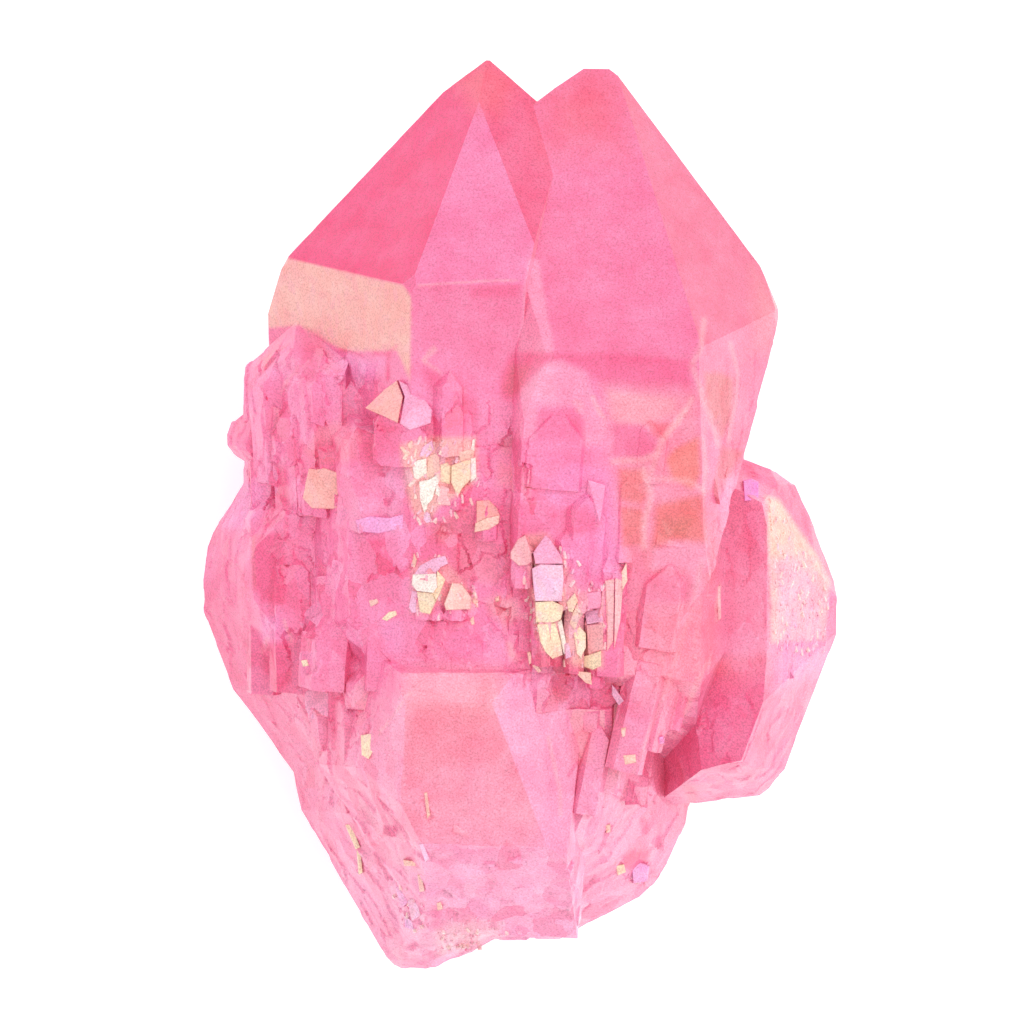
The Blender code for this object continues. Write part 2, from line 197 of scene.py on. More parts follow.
def inside_outline(pixels: np.ndarray, outline: Sequence[Pixel]) -> np.ndarray:
    """Tells which pixels lie inside an outline.

    Args:
        pixels: rows of two numbers.
        outline: the outline's corners in order.

    Returns:
        One truth value for each row.
    """
    inside = np.zeros(len(pixels), bool)
    corners = list(outline)
    for (x1, y1), (x2, y2) in zip(corners, corners[1:] + corners[:1]):
        crosses = (y1 > pixels[:, 1]) != (y2 > pixels[:, 1])
        rise = y2 - y1 if y2 != y1 else 1e-9
        inside ^= crosses & (pixels[:, 0] < x1 + (x2 - x1) * (pixels[:, 1] - y1) / rise)
    return inside


def distance_to_path(pixels: np.ndarray, path: Sequence[Pixel]) -> np.ndarray:
    """Gives how far pixels lie from a path of straight runs, in pixels."""
    nearest = np.full(len(pixels), np.inf)
    for start, end in zip(path, path[1:]):
        first, run = np.array(start), np.array(end) - np.array(start)
        along = np.clip(((pixels - first) @ run) / max(run @ run, 1e-9), 0, 1)
        nearest = np.minimum(nearest, np.linalg.norm(pixels - first - along[:, None] * run, axis=1))
    return nearest


@dataclass(frozen=True)
class Zone:
    """A patch of the front, outlined in the photograph's frame: its own hue, or painted shade, light or reflection."""

    name: str
    tint: Tint
    outline: tuple[Pixel, ...]
    strength: float = 1.0
    soft: float = 0.0
    # share of painted iridescent reflection laid on the zone
    film: float = 0.0
    cover: Cover = Cover.PAINTED

    def weight(self, pixels: np.ndarray) -> np.ndarray:
        """Gives how strongly the zone's hue lies at each pixel, from 0 to its strength."""
        weights = np.zeros(len(pixels))
        corners = np.array(self.outline)
        low, high = corners.min(axis=0) - self.soft, corners.max(axis=0) + self.soft
        near = np.nonzero(((pixels >= low) & (pixels <= high)).all(axis=1))[0]
        inside = inside_outline(pixels[near], self.outline)
        if self.soft <= 0:
            weights[near] = inside * self.strength
            return weights
        edge = distance_to_path(pixels[near], tuple(self.outline) + (self.outline[0],))
        signed = np.where(inside, edge, -edge)
        weights[near] = np.clip(0.5 + signed / (2 * self.soft), 0, 1) * self.strength
        return weights


@dataclass(frozen=True)
class Vein:
    """A healed crack or an open one near the surface, as a path in the photograph's frame."""

    path: tuple[Pixel, ...]
    width: float = 2.4
    strength: float = 0.55
    tint: Tint = Tint.PALE_VEIN


FACET = Cover.WHOLE_FACETS

ZONES: tuple[Zone, ...] = (
    # broad hues, from the deep points down to the pale broken end
    Zone("middle", Tint.MID_ROSE, ((225, 340), (410, 360), (690, 400), (700, 660), (300, 700), (215, 560)), 0.85, 30),
    Zone("right_low", Tint.CORAL_ROSE, ((620, 560), (764, 500), (768, 660), (690, 700), (640, 700)), 0.85, 20),
    # painted light: the side crystal's steep left face is paled against the shade it lies in
    Zone("side_left_face", Tint.PALE_ROSE, ((716, 470), (764, 486), (768, 650), (716, 660)), 0.95, 6),
    Zone("lower", Tint.PALE_ROSE, ((290, 700), (690, 700), (680, 830), (400, 990), (280, 800)), 0.55, 40),
    Zone("lower_end", Tint.PALE_LILAC_ROSE, ((320, 845), (690, 845), (640, 960), (400, 1000)), 0.55, 35),
    # the left point: its big faces' tones are partly painted shade and light by how each face lies; left_face is
    # deeper by painted shade and left_face_light is painted light on it
    Zone("left_face", Tint.CRIMSON, ((492, 58), (440, 88), (296, 240), (276, 262), (404, 292), (417, 288),
                                          (482, 106)), cover=FACET),
    Zone("left_face_light", Tint.MAGENTA, ((470, 90), (400, 160), (360, 250), (420, 270), (470, 140)), 0.2, 30),
    Zone("left_tip", Tint.RED, ((452, 82), (490, 58), (520, 84), (500, 118), (474, 112)), 0.7, 12),
    Zone("middle_face", Tint.SOFT_ROSE, ((483, 104), (417, 287), (524, 288), (534, 247), (500, 160)), cover=FACET),
    Zone("ridge_face", Tint.ROSE_RED, ((483, 106), (520, 84), (537, 103), (540, 180), (535, 235), (500, 150)),
         cover=FACET),
    # painted highlight along the ridge where the right point meets the left one
    Zone("right_bevel", Tint.PALE_ROSE, ((528, 262), (538, 262), (554, 356), (556, 400), (512, 400),
                                         (524, 300)), 0.8, 2),
    # painted reflection: the peach of this prism face is light reflected by the coat
    Zone("peach_face", Tint.PEACH, ((286, 258), (404, 288), (412, 300), (411, 380), (398, 352), (345, 352),
                                    (312, 333), (300, 325), (264, 328), (264, 280)), 1.0, 1.5, 0.2),
    Zone("prism_face", Tint.MAGENTA, ((412, 289), (524, 289), (512, 400), (414, 400)), cover=FACET),
    Zone("prism_band", Tint.DEEP_MAGENTA, ((468, 287), (522, 287), (518, 300), (470, 300)), 0.5, 3),
    Zone("prism_shade", Tint.DEEP_MAGENTA, ((425, 368), (438, 372), (444, 392), (436, 402), (426, 385)), 0.5, 4),
    # the right point: its big faces' tones are partly painted shade and light by how each face lies
    Zone("right_front", Tint.ROSE, ((537, 100), (582, 66), (622, 80), (692, 352), (545, 358), (526, 287)),
         cover=FACET),
    Zone("right_tip", Tint.RED, ((540, 96), (590, 62), (625, 84), (620, 150), (548, 150)), 0.6, 28),
    Zone("right_flank", Tint.DEEP_ROSE, ((622, 76), (764, 262), (778, 310), (692, 354)), cover=FACET),
    Zone("right_edge", Tint.PEACH, ((752, 270), (780, 300), (776, 360), (752, 350)), 0.3, 10),
    Zone("under_right", Tint.DEEP_MAGENTA, ((510, 354), (615, 355), (686, 362), (689, 395), (681, 396), (676, 386),
                                            (640, 391), (600, 384), (585, 372), (560, 362), (545, 366), (528, 386),
                                            (518, 400), (503, 400), (500, 384)), 0.65, 3),
    Zone("under_right_dark", Tint.BROWN_RED, ((510, 366), (531, 368), (522, 392), (510, 397), (503, 390)), 0.45, 4),
    # the left steps
    Zone("shoulder_red", Tint.DEEP_MAGENTA, ((302, 330), (320, 332), (326, 352), (316, 382), (302, 384)), 0.55, 4),
    Zone("shoulder_spot", Tint.RED, ((262, 358), (272, 352), (274, 364), (264, 368)), 0.6, 4),
    Zone("left_lilac", Tint.LILAC, ((328, 346), (345, 354), (386, 362), (380, 380), (350, 382), (336, 366)), 0.5, 6),
    Zone("steps_red", Tint.DEEP_MAGENTA, ((362, 420), (380, 419), (402, 426), (401, 452), (366, 462), (360, 440)),
         0.5, 5),
    Zone("steps_lens", Tint.CORAL_ROSE, ((305, 452), (318, 428), (345, 420), (361, 430), (358, 460), (320, 464)), 0.6,
         4),
    Zone("steps_lens_red", Tint.DEEP_MAGENTA, ((320, 442), (344, 440), (340, 457), (326, 456), (313, 464)), 0.6, 3),
    Zone("left_bay", Tint.DEEP_MAGENTA, ((274, 462), (286, 470), (290, 494), (284, 520), (263, 532), (268, 506),
                                         (273, 480)), 0.8, 3),
    Zone("left_flank_top", Tint.LILAC, ((246, 480), (270, 486), (266, 508), (246, 530), (222, 526)), 0.45, 6),
    Zone("left_flank", Tint.MAGENTA, ((212, 530), (250, 540), (256, 640), (276, 720), (232, 690), (203, 600)),
         0.5, 8),
    Zone("left_strip", Tint.DEEP_MAGENTA, ((254, 536), (284, 530), (286, 604), (262, 602), (254, 584)), 0.85, 3),
    Zone("left_strip_pale", Tint.LILAC, ((262, 618), (286, 614), (292, 640), (264, 641)), 0.45, 4),
    Zone("left_strip_low", Tint.DEEP_MAGENTA, ((262, 646), (290, 643), (292, 680), (276, 697), (262, 670)), 0.7, 4),
    Zone("lilac_face", Tint.PALE_LILAC_ROSE, ((345, 472), (392, 470), (402, 498), (400, 530), (352, 532)), 0.4, 5),
    Zone("red_hollow", Tint.DEEP_MAGENTA, ((358, 540), (400, 535), (403, 580), (400, 602), (366, 600), (360, 570)),
         0.7, 3),
    Zone("left_middle_lilac", Tint.LILAC, ((382, 622), (404, 620), (403, 650), (386, 652)), 0.4, 5),
    Zone("low_strip", Tint.DEEP_MAGENTA, ((330, 685), (338, 698), (335, 735), (327, 724)), 0.6, 3),
    # the middle
    Zone("window_shade", Tint.DEEP_MAGENTA, ((473, 400), (479, 400), (479, 462), (474, 470)), 0.5, 2),
    Zone("middle_hollow", Tint.BROWN_RED, ((430, 526), (456, 508), (476, 502), (478, 534), (500, 545), (500, 582),
                                           (450, 582), (452, 550), (432, 540)), 0.4, 5),
    Zone("middle_hollow_dark", Tint.BROWN_RED, ((432, 528), (455, 514), (458, 534), (440, 541)), 0.5, 4),
    Zone("middle_pit", Tint.BROWN_RED, ((497, 434), (511, 436), (509, 457), (500, 452)), 0.5, 4),
    Zone("middle_warm", Tint.CORAL_ROSE, ((498, 460), (515, 470), (512, 488), (496, 486)), 0.6, 4),
    Zone("middle_pale", Tint.PALE_ROSE, ((518, 478), (530, 482), (528, 512), (523, 500)), 0.6, 3),
    Zone("above_column", Tint.DEEP_MAGENTA, ((500, 505), (535, 500), (560, 512), (556, 532), (545, 530), (532, 550),
                                             (505, 540)), 0.5, 5),
    Zone("column_shade", Tint.DEEP_MAGENTA, ((523, 566), (531, 568), (535, 604), (536, 640), (526, 636), (520, 600)),
         0.7, 3),
    Zone("pale_cloud", Tint.PALE_VEIN, ((486, 600), (498, 594), (518, 600), (520, 616), (506, 624), (492, 614)), 0.55,
         5),
    Zone("pale_drop", Tint.PALE_VEIN, ((506, 640), (512, 642), (517, 660), (509, 656)), 0.6, 3),
    # the dome and lilac crystals
    Zone("dome_rim", Tint.PALE_ROSE, ((545, 367), (560, 362), (585, 375), (592, 396), (606, 430), (600, 446),
                                      (580, 446), (583, 424), (576, 408), (540, 408), (534, 440), (516, 440),
                                      (514, 410), (520, 392)), 0.65, 3),
    Zone("dome_inner", Tint.DEEP_MAGENTA, ((538, 409), (577, 409), (582, 425), (579, 444), (564, 442), (534, 440)),
         0.4, 3),
    Zone("lilac_crystal", Tint.LILAC, ((540, 493), (560, 470), (575, 462), (590, 468), (610, 470), (617, 490),
                                       (618, 535), (626, 565), (600, 560), (590, 515), (575, 505), (560, 510)), 0.40,
         3),
    Zone("lilac_crystal_red", Tint.MAGENTA, ((563, 508), (586, 505), (601, 522), (592, 536), (562, 532)), 0.7, 4),
    Zone("under_lilac", Tint.LILAC, ((562, 540), (590, 530), (624, 548), (624, 576), (566, 580)), 0.35, 5),
    # the see-through zone
    Zone("window_coral", Tint.CORAL, ((604, 388), (700, 392), (702, 560), (622, 560), (612, 470)), 0.6, 10),
    Zone("window_pale", Tint.PALE_VEIN, ((606, 392), (672, 400), (675, 414), (640, 426), (608, 420)), 0.35, 4),
    Zone("window_red", Tint.MAGENTA, ((612, 426), (640, 426), (655, 440), (652, 454), (640, 460), (612, 456)), 0.8, 3),
    Zone("window_spot", Tint.RED, ((645, 422), (668, 425), (662, 439), (652, 436)), 0.7, 3),
    Zone("window_square", Tint.RUSSET, ((618, 470), (642, 470), (647, 494), (640, 504), (618, 500)), 0.7, 3),
    Zone("window_square_low", Tint.RUSSET, ((619, 507), (641, 509), (642, 544), (622, 546)), 0.75, 3),
    Zone("window_orange", Tint.ORANGE_RED, ((672, 450), (696, 438), (698, 474), (690, 490), (670, 478), (664, 460)),
         0.9, 3),
    Zone("window_dark", Tint.RUSSET, ((655, 504), (700, 495), (703, 540), (668, 540), (650, 548)), 0.85, 4),
    Zone("window_darkest", Tint.OLIVE_BROWN, ((658, 518), (690, 518), (686, 534), (661, 537)), 0.5, 4),
    Zone("olive_flank", Tint.OLIVE_BROWN, ((702, 375), (716, 374), (731, 380), (732, 396), (728, 420), (720, 438),
                                           (714, 430), (704, 405)), 0.65, 3),
    Zone("olive_flank_dark", Tint.BROWN_RED, ((714, 384), (730, 384), (727, 420), (720, 434)), 0.6, 4),
    Zone("brown_flank", Tint.BROWN_RED, ((720, 448), (742, 452), (730, 470), (718, 494), (710, 492), (714, 468)), 0.7,
         3),
    # the columns' foot
    Zone("column_foot", Tint.BROWN_RED, ((530, 642), (542, 648), (556, 660), (580, 655), (582, 668), (566, 678),
                                         (548, 678), (536, 668)), 0.6, 3),
    Zone("column_foot_low", Tint.BROWN_RED, ((552, 684), (560, 684), (569, 696), (564, 700), (548, 702)), 0.6, 3),
    Zone("column_foot_red", Tint.DEEP_MAGENTA, ((538, 655), (600, 668), (628, 700), (640, 716), (600, 706),
                                                (560, 700)), 0.45, 8),
    # the right side crystal: side_cream and side_lilac are painted reflections of the coat
    Zone("side_cream", Tint.CREAM, ((764, 496), (778, 500), (800, 532), (813, 550), (830, 582), (824, 640),
                                         (770, 642)), 0.6, 2.5, 0.45),
    Zone("side_lilac", Tint.LILAC, ((772, 560), (800, 556), (830, 590), (826, 670), (772, 690)), 0.5, 10, 0.4),
    Zone("side_top", Tint.DEEP_MAGENTA, ((742, 462), (752, 466), (760, 482), (746, 478)), 0.7, 3),
    # patch_ground and column_ground: the pale ground round the small bright faces, painted reflection as those faces
    # are
    Zone("patch_ground", Tint.PALE_PEACH, ((403, 445), (432, 438), (476, 438), (478, 480), (462, 494), (440, 506),
                                           (428, 525), (414, 512), (404, 480)), 0.75, 3),
    Zone("column_ground", Tint.PALE_PEACH, ((511, 552), (525, 535), (546, 533), (562, 556), (578, 590),
                                            (603, 590), (602, 666), (584, 668), (560, 657), (540, 648),
                                            (530, 600), (528, 566)), 0.6, 3),
    Zone("block_ground", Tint.PALE_VEIN, ((411, 566), (446, 554), (449, 563), (479, 600), (472, 609), (437, 602),
                                          (430, 613), (412, 612)), 0.75, 3),
    Zone("side_strip", Tint.DEEP_MAGENTA, ((738, 504), (763, 502), (765, 566), (744, 566)), 0.25, 5),
    Zone("side_low", Tint.ROSE, ((690, 690), (800, 700), (782, 790), (690, 800)), 0.5, 20),
    Zone("side_edge", Tint.MAGENTA, ((704, 662), (724, 680), (716, 760), (694, 796), (680, 756), (690, 692)), 0.35, 5),
    Zone("side_gap", Tint.BROWN_RED, ((677, 758), (684, 772), (702, 800), (690, 806), (682, 786)), 0.4, 3),
    Zone("pink_block", Tint.PALE_ROSE, ((652, 550), (675, 541), (706, 545), (705, 566), (690, 571), (650, 568)), 0.7,
         3),
    Zone("under_block", Tint.MAGENTA, ((638, 571), (690, 573), (690, 602), (640, 602)), 0.5, 4),
    Zone("block_streak", Tint.PALE_ROSE, ((690, 573), (701, 570), (700, 592), (693, 612)), 0.7, 3),
    # the lower crystal: its big faces' tones are partly painted shade and light by how each face lies;
    # lower_end_face is paled against the shade of its steep slope
    Zone("lower_front", Tint.CORAL, ((396, 690), (500, 690), (560, 850), (420, 850)), cover=FACET),
    Zone("lower_top", Tint.CORAL_ROSE, ((400, 656), (545, 656), (545, 690), (400, 690)), cover=FACET),
    Zone("lower_right_face", Tint.PALE_LILAC_ROSE, ((500, 690), (575, 670), (580, 850), (562, 850)), cover=FACET),
    Zone("lower_left_face", Tint.PALE_ROSE, ((345, 760), (402, 665), (402, 800), (425, 840)), cover=FACET),
    Zone("lower_end_face", Tint.PALE_LILAC_ROSE, ((425, 848), (575, 850), (575, 932), (430, 932)), cover=FACET),
    Zone("lower_bright", Tint.PALE_VEIN, ((404, 664), (498, 664), (500, 705), (408, 705)), 0.35, 10),
    Zone("lower_red", Tint.RED, ((418, 702), (488, 704), (508, 742), (498, 760), (440, 765), (406, 790), (408, 742)),
         0.22, 4),
    Zone("lower_right_rose", Tint.MAGENTA, ((544, 738), (560, 740), (563, 792), (548, 790)), 0.35, 4),
    Zone("lower_warm", Tint.CORAL_ROSE, ((570, 730), (592, 724), (592, 762), (572, 762)), 0.6, 4),
    Zone("lower_pale", Tint.PALE_LILAC_ROSE, ((560, 780), (625, 784), (612, 850), (560, 880), (535, 840)), 0.6, 12),
    Zone("lower_spot", Tint.MAGENTA, ((431, 904), (442, 904), (441, 930), (433, 932)), 0.6, 3),
    # painted glints on the druse at the lower end
    Zone("lower_druse", Tint.WHITE, ((436, 930), (470, 918), (502, 924), (500, 944), (460, 956), (438, 958)), 0.35, 6,
         0.5),
    Zone("right_hollow", Tint.DEEP_MAGENTA, ((621, 856), (632, 851), (650, 850), (648, 866), (633, 873), (625, 869)),
         0.9, 3),
    Zone("right_slit", Tint.DEEP_MAGENTA, ((641, 818), (648, 820), (648, 836), (642, 834)), 0.8, 2),
    Zone("right_slit_outer", Tint.DEEP_MAGENTA, ((658, 824), (662, 826), (662, 842), (658, 840)), 0.8, 2),
)

VEINS: tuple[Vein, ...] = (
    # pale healed cracks
    Vein(((612, 462), (640, 460), (655, 455), (661, 440), (668, 430), (682, 412)), 4.0, 0.45),
    Vein(((642, 470), (650, 496), (643, 520), (642, 546)), 4.0, 0.5),
    Vein(((655, 455), (648, 478), (690, 482), (702, 492)), 3.4, 0.4),
    Vein(((690, 400), (676, 424), (661, 440)), 3.0, 0.45),
    Vein(((702, 322), (698, 350), (690, 366), (699, 395), (712, 430), (716, 446)), 3.6, 0.45),
    Vein(((728, 345), (736, 372), (734, 400), (726, 440)), 3.0, 0.35),
    Vein(((700, 440), (704, 470), (700, 490)), 3.0, 0.3),
    Vein(((576, 402), (580, 413)), 2.5, 0.7),
    Vein(((592, 398), (604, 424)), 2.0, 0.5),
    Vein(((425, 362), (436, 351)), 2.4, 0.6),
    Vein(((425, 363), (440, 373)), 2.0, 0.4),
    Vein(((720, 584), (716, 598), (715, 620)), 2.4, 0.6),
    Vein(((706, 662), (692, 690), (684, 712)), 3.4, 0.5),
    Vein(((700, 560), (690, 610), (660, 700), (620, 800)), 3.0, 0.25),
    Vein(((420, 288), (480, 284), (515, 283)), 1.6, 0.4),
    Vein(((285, 620), (292, 641)), 2.2, 0.5),
    Vein(((262, 652), (268, 638)), 2.2, 0.4),
    Vein(((298, 368), (282, 392)), 2.0, 0.4),
    Vein(((548, 735), (560, 790), (560, 812)), 2.4, 0.4),
    Vein(((412, 690), (400, 706), (380, 732)), 1.8, 0.4),
    # open cracks, deeper than what is round them
    Vein(((340, 350), (352, 353), (365, 357)), 1.8, 0.75, Tint.DEEP_MAGENTA),
    Vein(((375, 355), (388, 355), (397, 348)), 1.8, 0.7, Tint.DEEP_MAGENTA),
    Vein(((390, 355), (389, 368), (389, 380)), 2.6, 0.7, Tint.DEEP_MAGENTA),
    Vein(((299, 367), (287, 390), (284, 404)), 1.6, 0.6, Tint.DEEP_MAGENTA),
    Vein(((236, 404), (237, 420), (239, 436)), 2.2, 0.7, Tint.DEEP_MAGENTA),
    Vein(((254, 536), (253, 560), (255, 588)), 2.0, 0.6, Tint.BROWN_RED),
    Vein(((244, 646), (246, 634), (256, 628)), 1.6, 0.6, Tint.DEEP_MAGENTA),
    Vein(((627, 568), (624, 596), (622, 622)), 2.2, 0.7, Tint.DEEP_MAGENTA),
    Vein(((607, 600), (610, 620), (609, 640)), 2.2, 0.7, Tint.DEEP_MAGENTA),
    Vein(((478, 440), (478, 480)), 1.6, 0.5, Tint.DEEP_MAGENTA),
    Vein(((767, 500), (764, 540), (769, 610)), 1.6, 0.5, Tint.DEEP_MAGENTA),
    Vein(((568, 773), (574, 764), (580, 758)), 2.0, 0.6, Tint.DEEP_MAGENTA),
    Vein(((372, 846), (390, 826)), 2.4, 0.6, Tint.DEEP_MAGENTA),
    Vein(((584, 828), (598, 812)), 1.4, 0.5, Tint.MAGENTA),
    Vein(((634, 785), (634, 802)), 2.2, 0.5, Tint.MAGENTA),
    Vein(((655, 752), (660, 728)), 1.6, 0.5, Tint.DEEP_MAGENTA),
)


def add_node(tree: bpy.types.NodeTree, kind: str, settings: Optional[dict] = None, values: Optional[dict] = None,
             links: Optional[dict] = None) -> bpy.types.Node:
    """Adds one node with its settings, socket values and incoming links.

    Args:
        tree: the tree to add it to.
        kind: the node's type name.
        settings: attribute names and values of the node.
        values: input sockets, by name or number, and their values.
        links: input sockets, by name or number, and the output sockets that feed them.

    Returns:
        The new node.
    """
    node = tree.nodes.new(kind)
    for name, value in (settings or {}).items():
        setattr(node, name, value)
    for socket, value in (values or {}).items():
        node.inputs[socket].default_value = value
    for socket, source in (links or {}).items():
        tree.links.new(source, node.inputs[socket])
    return node


def keep_mesh(mesh: bmesh.types.BMesh, name: str) -> bpy.types.Mesh:
    """Turns a mesh that was being edited into a named one that objects can use."""
    data = bpy.data.meshes.new(name)
    mesh.to_mesh(data)
    mesh.free()
    return data


def add_piece(name: str, data: bpy.types.Mesh) -> bpy.types.Object:
    """Puts a mesh into the scene as an object at the origin."""
    piece = bpy.data.objects.new(name, data)
    bpy.context.scene.collection.objects.link(piece)
    return piece


def set_ramp(node: bpy.types.Node, stops: Sequence[tuple[float, str]]) -> None:
    """Gives a colour ramp its stops, each a place from 0 to 1 and an sRGB hex colour."""
    elements = node.color_ramp.elements
    while len(elements) > len(stops):
        elements.remove(elements[-1])
    while len(elements) < len(stops):
        elements.new(1.0)
    for element, (place, colour) in zip(elements, stops):
        element.position = place
        element.color = linear(colour)


@dataclass(frozen=True)
class CoatedQuartz:
    """Rose aura quartz: clear crystal with a vapour coat of metal, bonded in a hot vacuum chamber.

    The crystal lets light deep in and the coat scatters part of it, so faces glow in an even pink with a fine
    sugary grain and healed cracks show as irregular patches. The cream, yellow and lilac that the coat reflects at
    some angles are painted into the colour as fixed painted reflections, patch by patch.
    """

    name: str = SLOT
    transmission: float = 0.20
    roughness: float = 0.26
    ior: float = 1.544
    coat_weight: float = 0.05
    coat_roughness: float = 0.20
    coat_ior: float = 1.6
    absorb_colour: str = "#EE5C92"
    absorb_per_m: float = 70.0
    grain_mm: float = 0.10
    mottle_mm: float = 2.4
    patch_mm: float = 1.25
    # size of the patches of painted iridescent reflection
    reflection_patch_mm: float = 0.42
    bend_mm: float = 1.9
    bend_reach_mm: float = 1.6
    across_to_along: float = 0.62
    grain_share: float = 0.30
    grain_bump: float = 0.16
    grain_depth_mm: float = 0.03
    paler_share: float = 0.07
    deeper_share: float = 0.28
    patch_share: float = 0.42
    # how far the painted iridescent reflection covers the colour
    painted_reflection_share: float = 0.45

    def build(self) -> bpy.types.Material:
        """Builds the material.

        Returns:
            The material, which reads the piece's "tint", "film" and "jumble" attributes.
        """
        material = bpy.data.materials.new(self.name)
        material.use_nodes = True
        tree = material.node_tree
        tree.nodes.clear()
        place = add_node(tree, "ShaderNodeTexCoord").outputs["Object"]
        tint = add_node(tree, "ShaderNodeAttribute", {"attribute_name": "tint"}).outputs["Color"]
        # share of painted iridescent reflection at each corner
        film = add_node(tree, "ShaderNodeAttribute", {"attribute_name": "film"}).outputs["Fac"]
        jumble = add_node(tree, "ShaderNodeAttribute", {"attribute_name": "jumble"}).outputs["Fac"]
        along = self._along_the_crystal(tree, place)
        patches = add_node(tree, "ShaderNodeTexVoronoi", values={"Scale": 1 / (self.patch_mm * MM)},
                           links={"Vector": along})
        colour = self._patched(tree, self._mottle(tree, place, tint), patches, jumble)
        # painted reflection: the coat's iridescent cream, yellow and lilac laid into the base colour as fixed hues
        colour = self._painted_iridescence(tree, along, colour, film)
        grain = self._grain(tree, place)
        colour = self._with_grain(tree, colour, grain)
        tilted = self._tilted(tree, patches, jumble)
        bump = add_node(tree, "ShaderNodeBump", values={
            "Strength": self.grain_bump, "Distance": self.grain_depth_mm * MM},
            links={"Height": grain, "Normal": tilted})
        shader = add_node(tree, "ShaderNodeBsdfPrincipled", values={
            "Transmission Weight": self.transmission, "Roughness": self.roughness, "IOR": self.ior,
            "Coat Weight": self.coat_weight, "Coat Roughness": self.coat_roughness, "Coat IOR": self.coat_ior,
        }, links={"Base Color": colour, "Normal": bump.outputs["Normal"]})
        depth = add_node(tree, "ShaderNodeVolumeAbsorption", values={
            "Color": linear(self.absorb_colour), "Density": self.absorb_per_m})
        add_node(tree, "ShaderNodeOutputMaterial", links={"Surface": shader.outputs["BSDF"],
                                                          "Volume": depth.outputs["Volume"]})
        return material

    def _along_the_crystal(self, tree: bpy.types.NodeTree, place: bpy.types.NodeSocket) -> bpy.types.NodeSocket:
        """Draws a place out along the crystal's length and bends it, so patches are long and uneven."""
        bend = add_node(tree, "ShaderNodeTexNoise", values={"Scale": 1 / (self.bend_mm * MM), "Detail": 2.0},
                        links={"Vector": place})
        centred = add_node(tree, "ShaderNodeVectorMath", {"operation": "SUBTRACT"}, {1: (0.5, 0.5, 0.5)},
                           {0: bend.outputs["Color"]})
        moved = add_node(tree, "ShaderNodeVectorMath", {"operation": "SCALE"}, {"Scale": self.bend_reach_mm * MM},
                         {0: centred.outputs[0]})
        bent = add_node(tree, "ShaderNodeVectorMath", {"operation": "ADD"}, links={0: place, 1: moved.outputs[0]})
        return add_node(tree, "ShaderNodeVectorMath", {"operation": "MULTIPLY"}, {1: (1.0, self.across_to_along, 1.0)},
                        {0: bent.outputs[0]}).outputs[0]

    def _mottle(self, tree: bpy.types.NodeTree, place: bpy.types.NodeSocket,
                tint: bpy.types.NodeSocket) -> bpy.types.NodeSocket:
        """Varies the tint in soft clouds a few millimetres wide, as veils inside the crystal do.

        Args:
            tree: the material's tree.
            place: the place on the piece.
            tint: the colour to vary.

        Returns:
            The varied colour.
        """
        clouds = add_node(tree, "ShaderNodeTexNoise", values={"Scale": 1 / (self.mottle_mm * MM), "Detail": 3.0,
                                                              "Roughness": 0.68}, links={"Vector": place})
        span = add_node(tree, "ShaderNodeMapRange", values={"From Min": 0.34, "From Max": 0.66, "To Min": 0.0,
                                                            "To Max": 1.0}, links={"Value": clouds.outputs["Fac"]})
        paler = add_node(tree, "ShaderNodeMix", {"data_type": "RGBA", "blend_type": "SCREEN"},
                         {0: self.paler_share, 7: linear("#FFB6C4")}, {6: tint})
        deeper = add_node(tree, "ShaderNodeMix", {"data_type": "RGBA", "blend_type": "MULTIPLY"},
                          {0: self.deeper_share, 7: linear("#F590B0")}, {6: tint})
        return add_node(tree, "ShaderNodeMix", {"data_type": "RGBA"}, links={
            0: span.outputs["Result"], 6: deeper.outputs[2], 7: paler.outputs[2]}).outputs[2]

    def _patched(self, tree: bpy.types.NodeTree, colour: bpy.types.NodeSocket, patches: bpy.types.Node,
                 jumble: bpy.types.NodeSocket) -> bpy.types.NodeSocket:
        """Gives each patch of broken crystal its own tone, paler or deeper than its neighbours.

        Args:
            tree: the material's tree.
            colour: the colour to vary.
            patches: the cells, whose colour is a chance of their own.
            jumble: how broken the crystal is there, from 0 to 1.

        Returns:
            The varied colour.
        """
        chance = add_node(tree, "ShaderNodeSeparateColor", links={"Color": patches.outputs["Color"]})
        for channel, (start, blend, hue) in enumerate((
                (0.45, "SCREEN", "#E0607E"), (0.5, "MULTIPLY", "#F06E96"), (0.72, "MIX", "#F7A4D0"))):
            share = add_node(tree, "ShaderNodeMapRange", values={
                "From Min": start, "From Max": 1.0, "To Min": 0.0, "To Max": self.patch_share},
                links={"Value": chance.outputs[channel]})
            amount = add_node(tree, "ShaderNodeMath", {"operation": "MULTIPLY"},
                              links={0: share.outputs["Result"], 1: jumble})
            colour = add_node(tree, "ShaderNodeMix", {"data_type": "RGBA", "blend_type": blend},
                              {7: linear(hue)}, {0: amount.outputs[0], 6: colour}).outputs[2]
        return colour

    def _tilted(self, tree: bpy.types.NodeTree, patches: bpy.types.Node,
                jumble: bpy.types.NodeSocket) -> bpy.types.NodeSocket:
        """Tilts the surface's normal a little in each patch, so each takes the light its own way."""
        normal = add_node(tree, "ShaderNodeNewGeometry").outputs["Normal"]
        centred = add_node(tree, "ShaderNodeVectorMath", {"operation": "SUBTRACT"}, {1: (0.5, 0.5, 0.5)},
                           {0: patches.outputs["Color"]})
        amount = add_node(tree, "ShaderNodeMath", {"operation": "MULTIPLY_ADD"}, {1: 0.42, 2: 0.05}, {0: jumble})
        tilt = add_node(tree, "ShaderNodeVectorMath", {"operation": "SCALE"},
                        links={0: centred.outputs[0], "Scale": amount.outputs[0]})
        turned = add_node(tree, "ShaderNodeVectorMath", {"operation": "ADD"}, links={0: normal, 1: tilt.outputs[0]})
        return add_node(tree, "ShaderNodeVectorMath", {"operation": "NORMALIZE"},
                        links={0: turned.outputs[0]}).outputs[0]

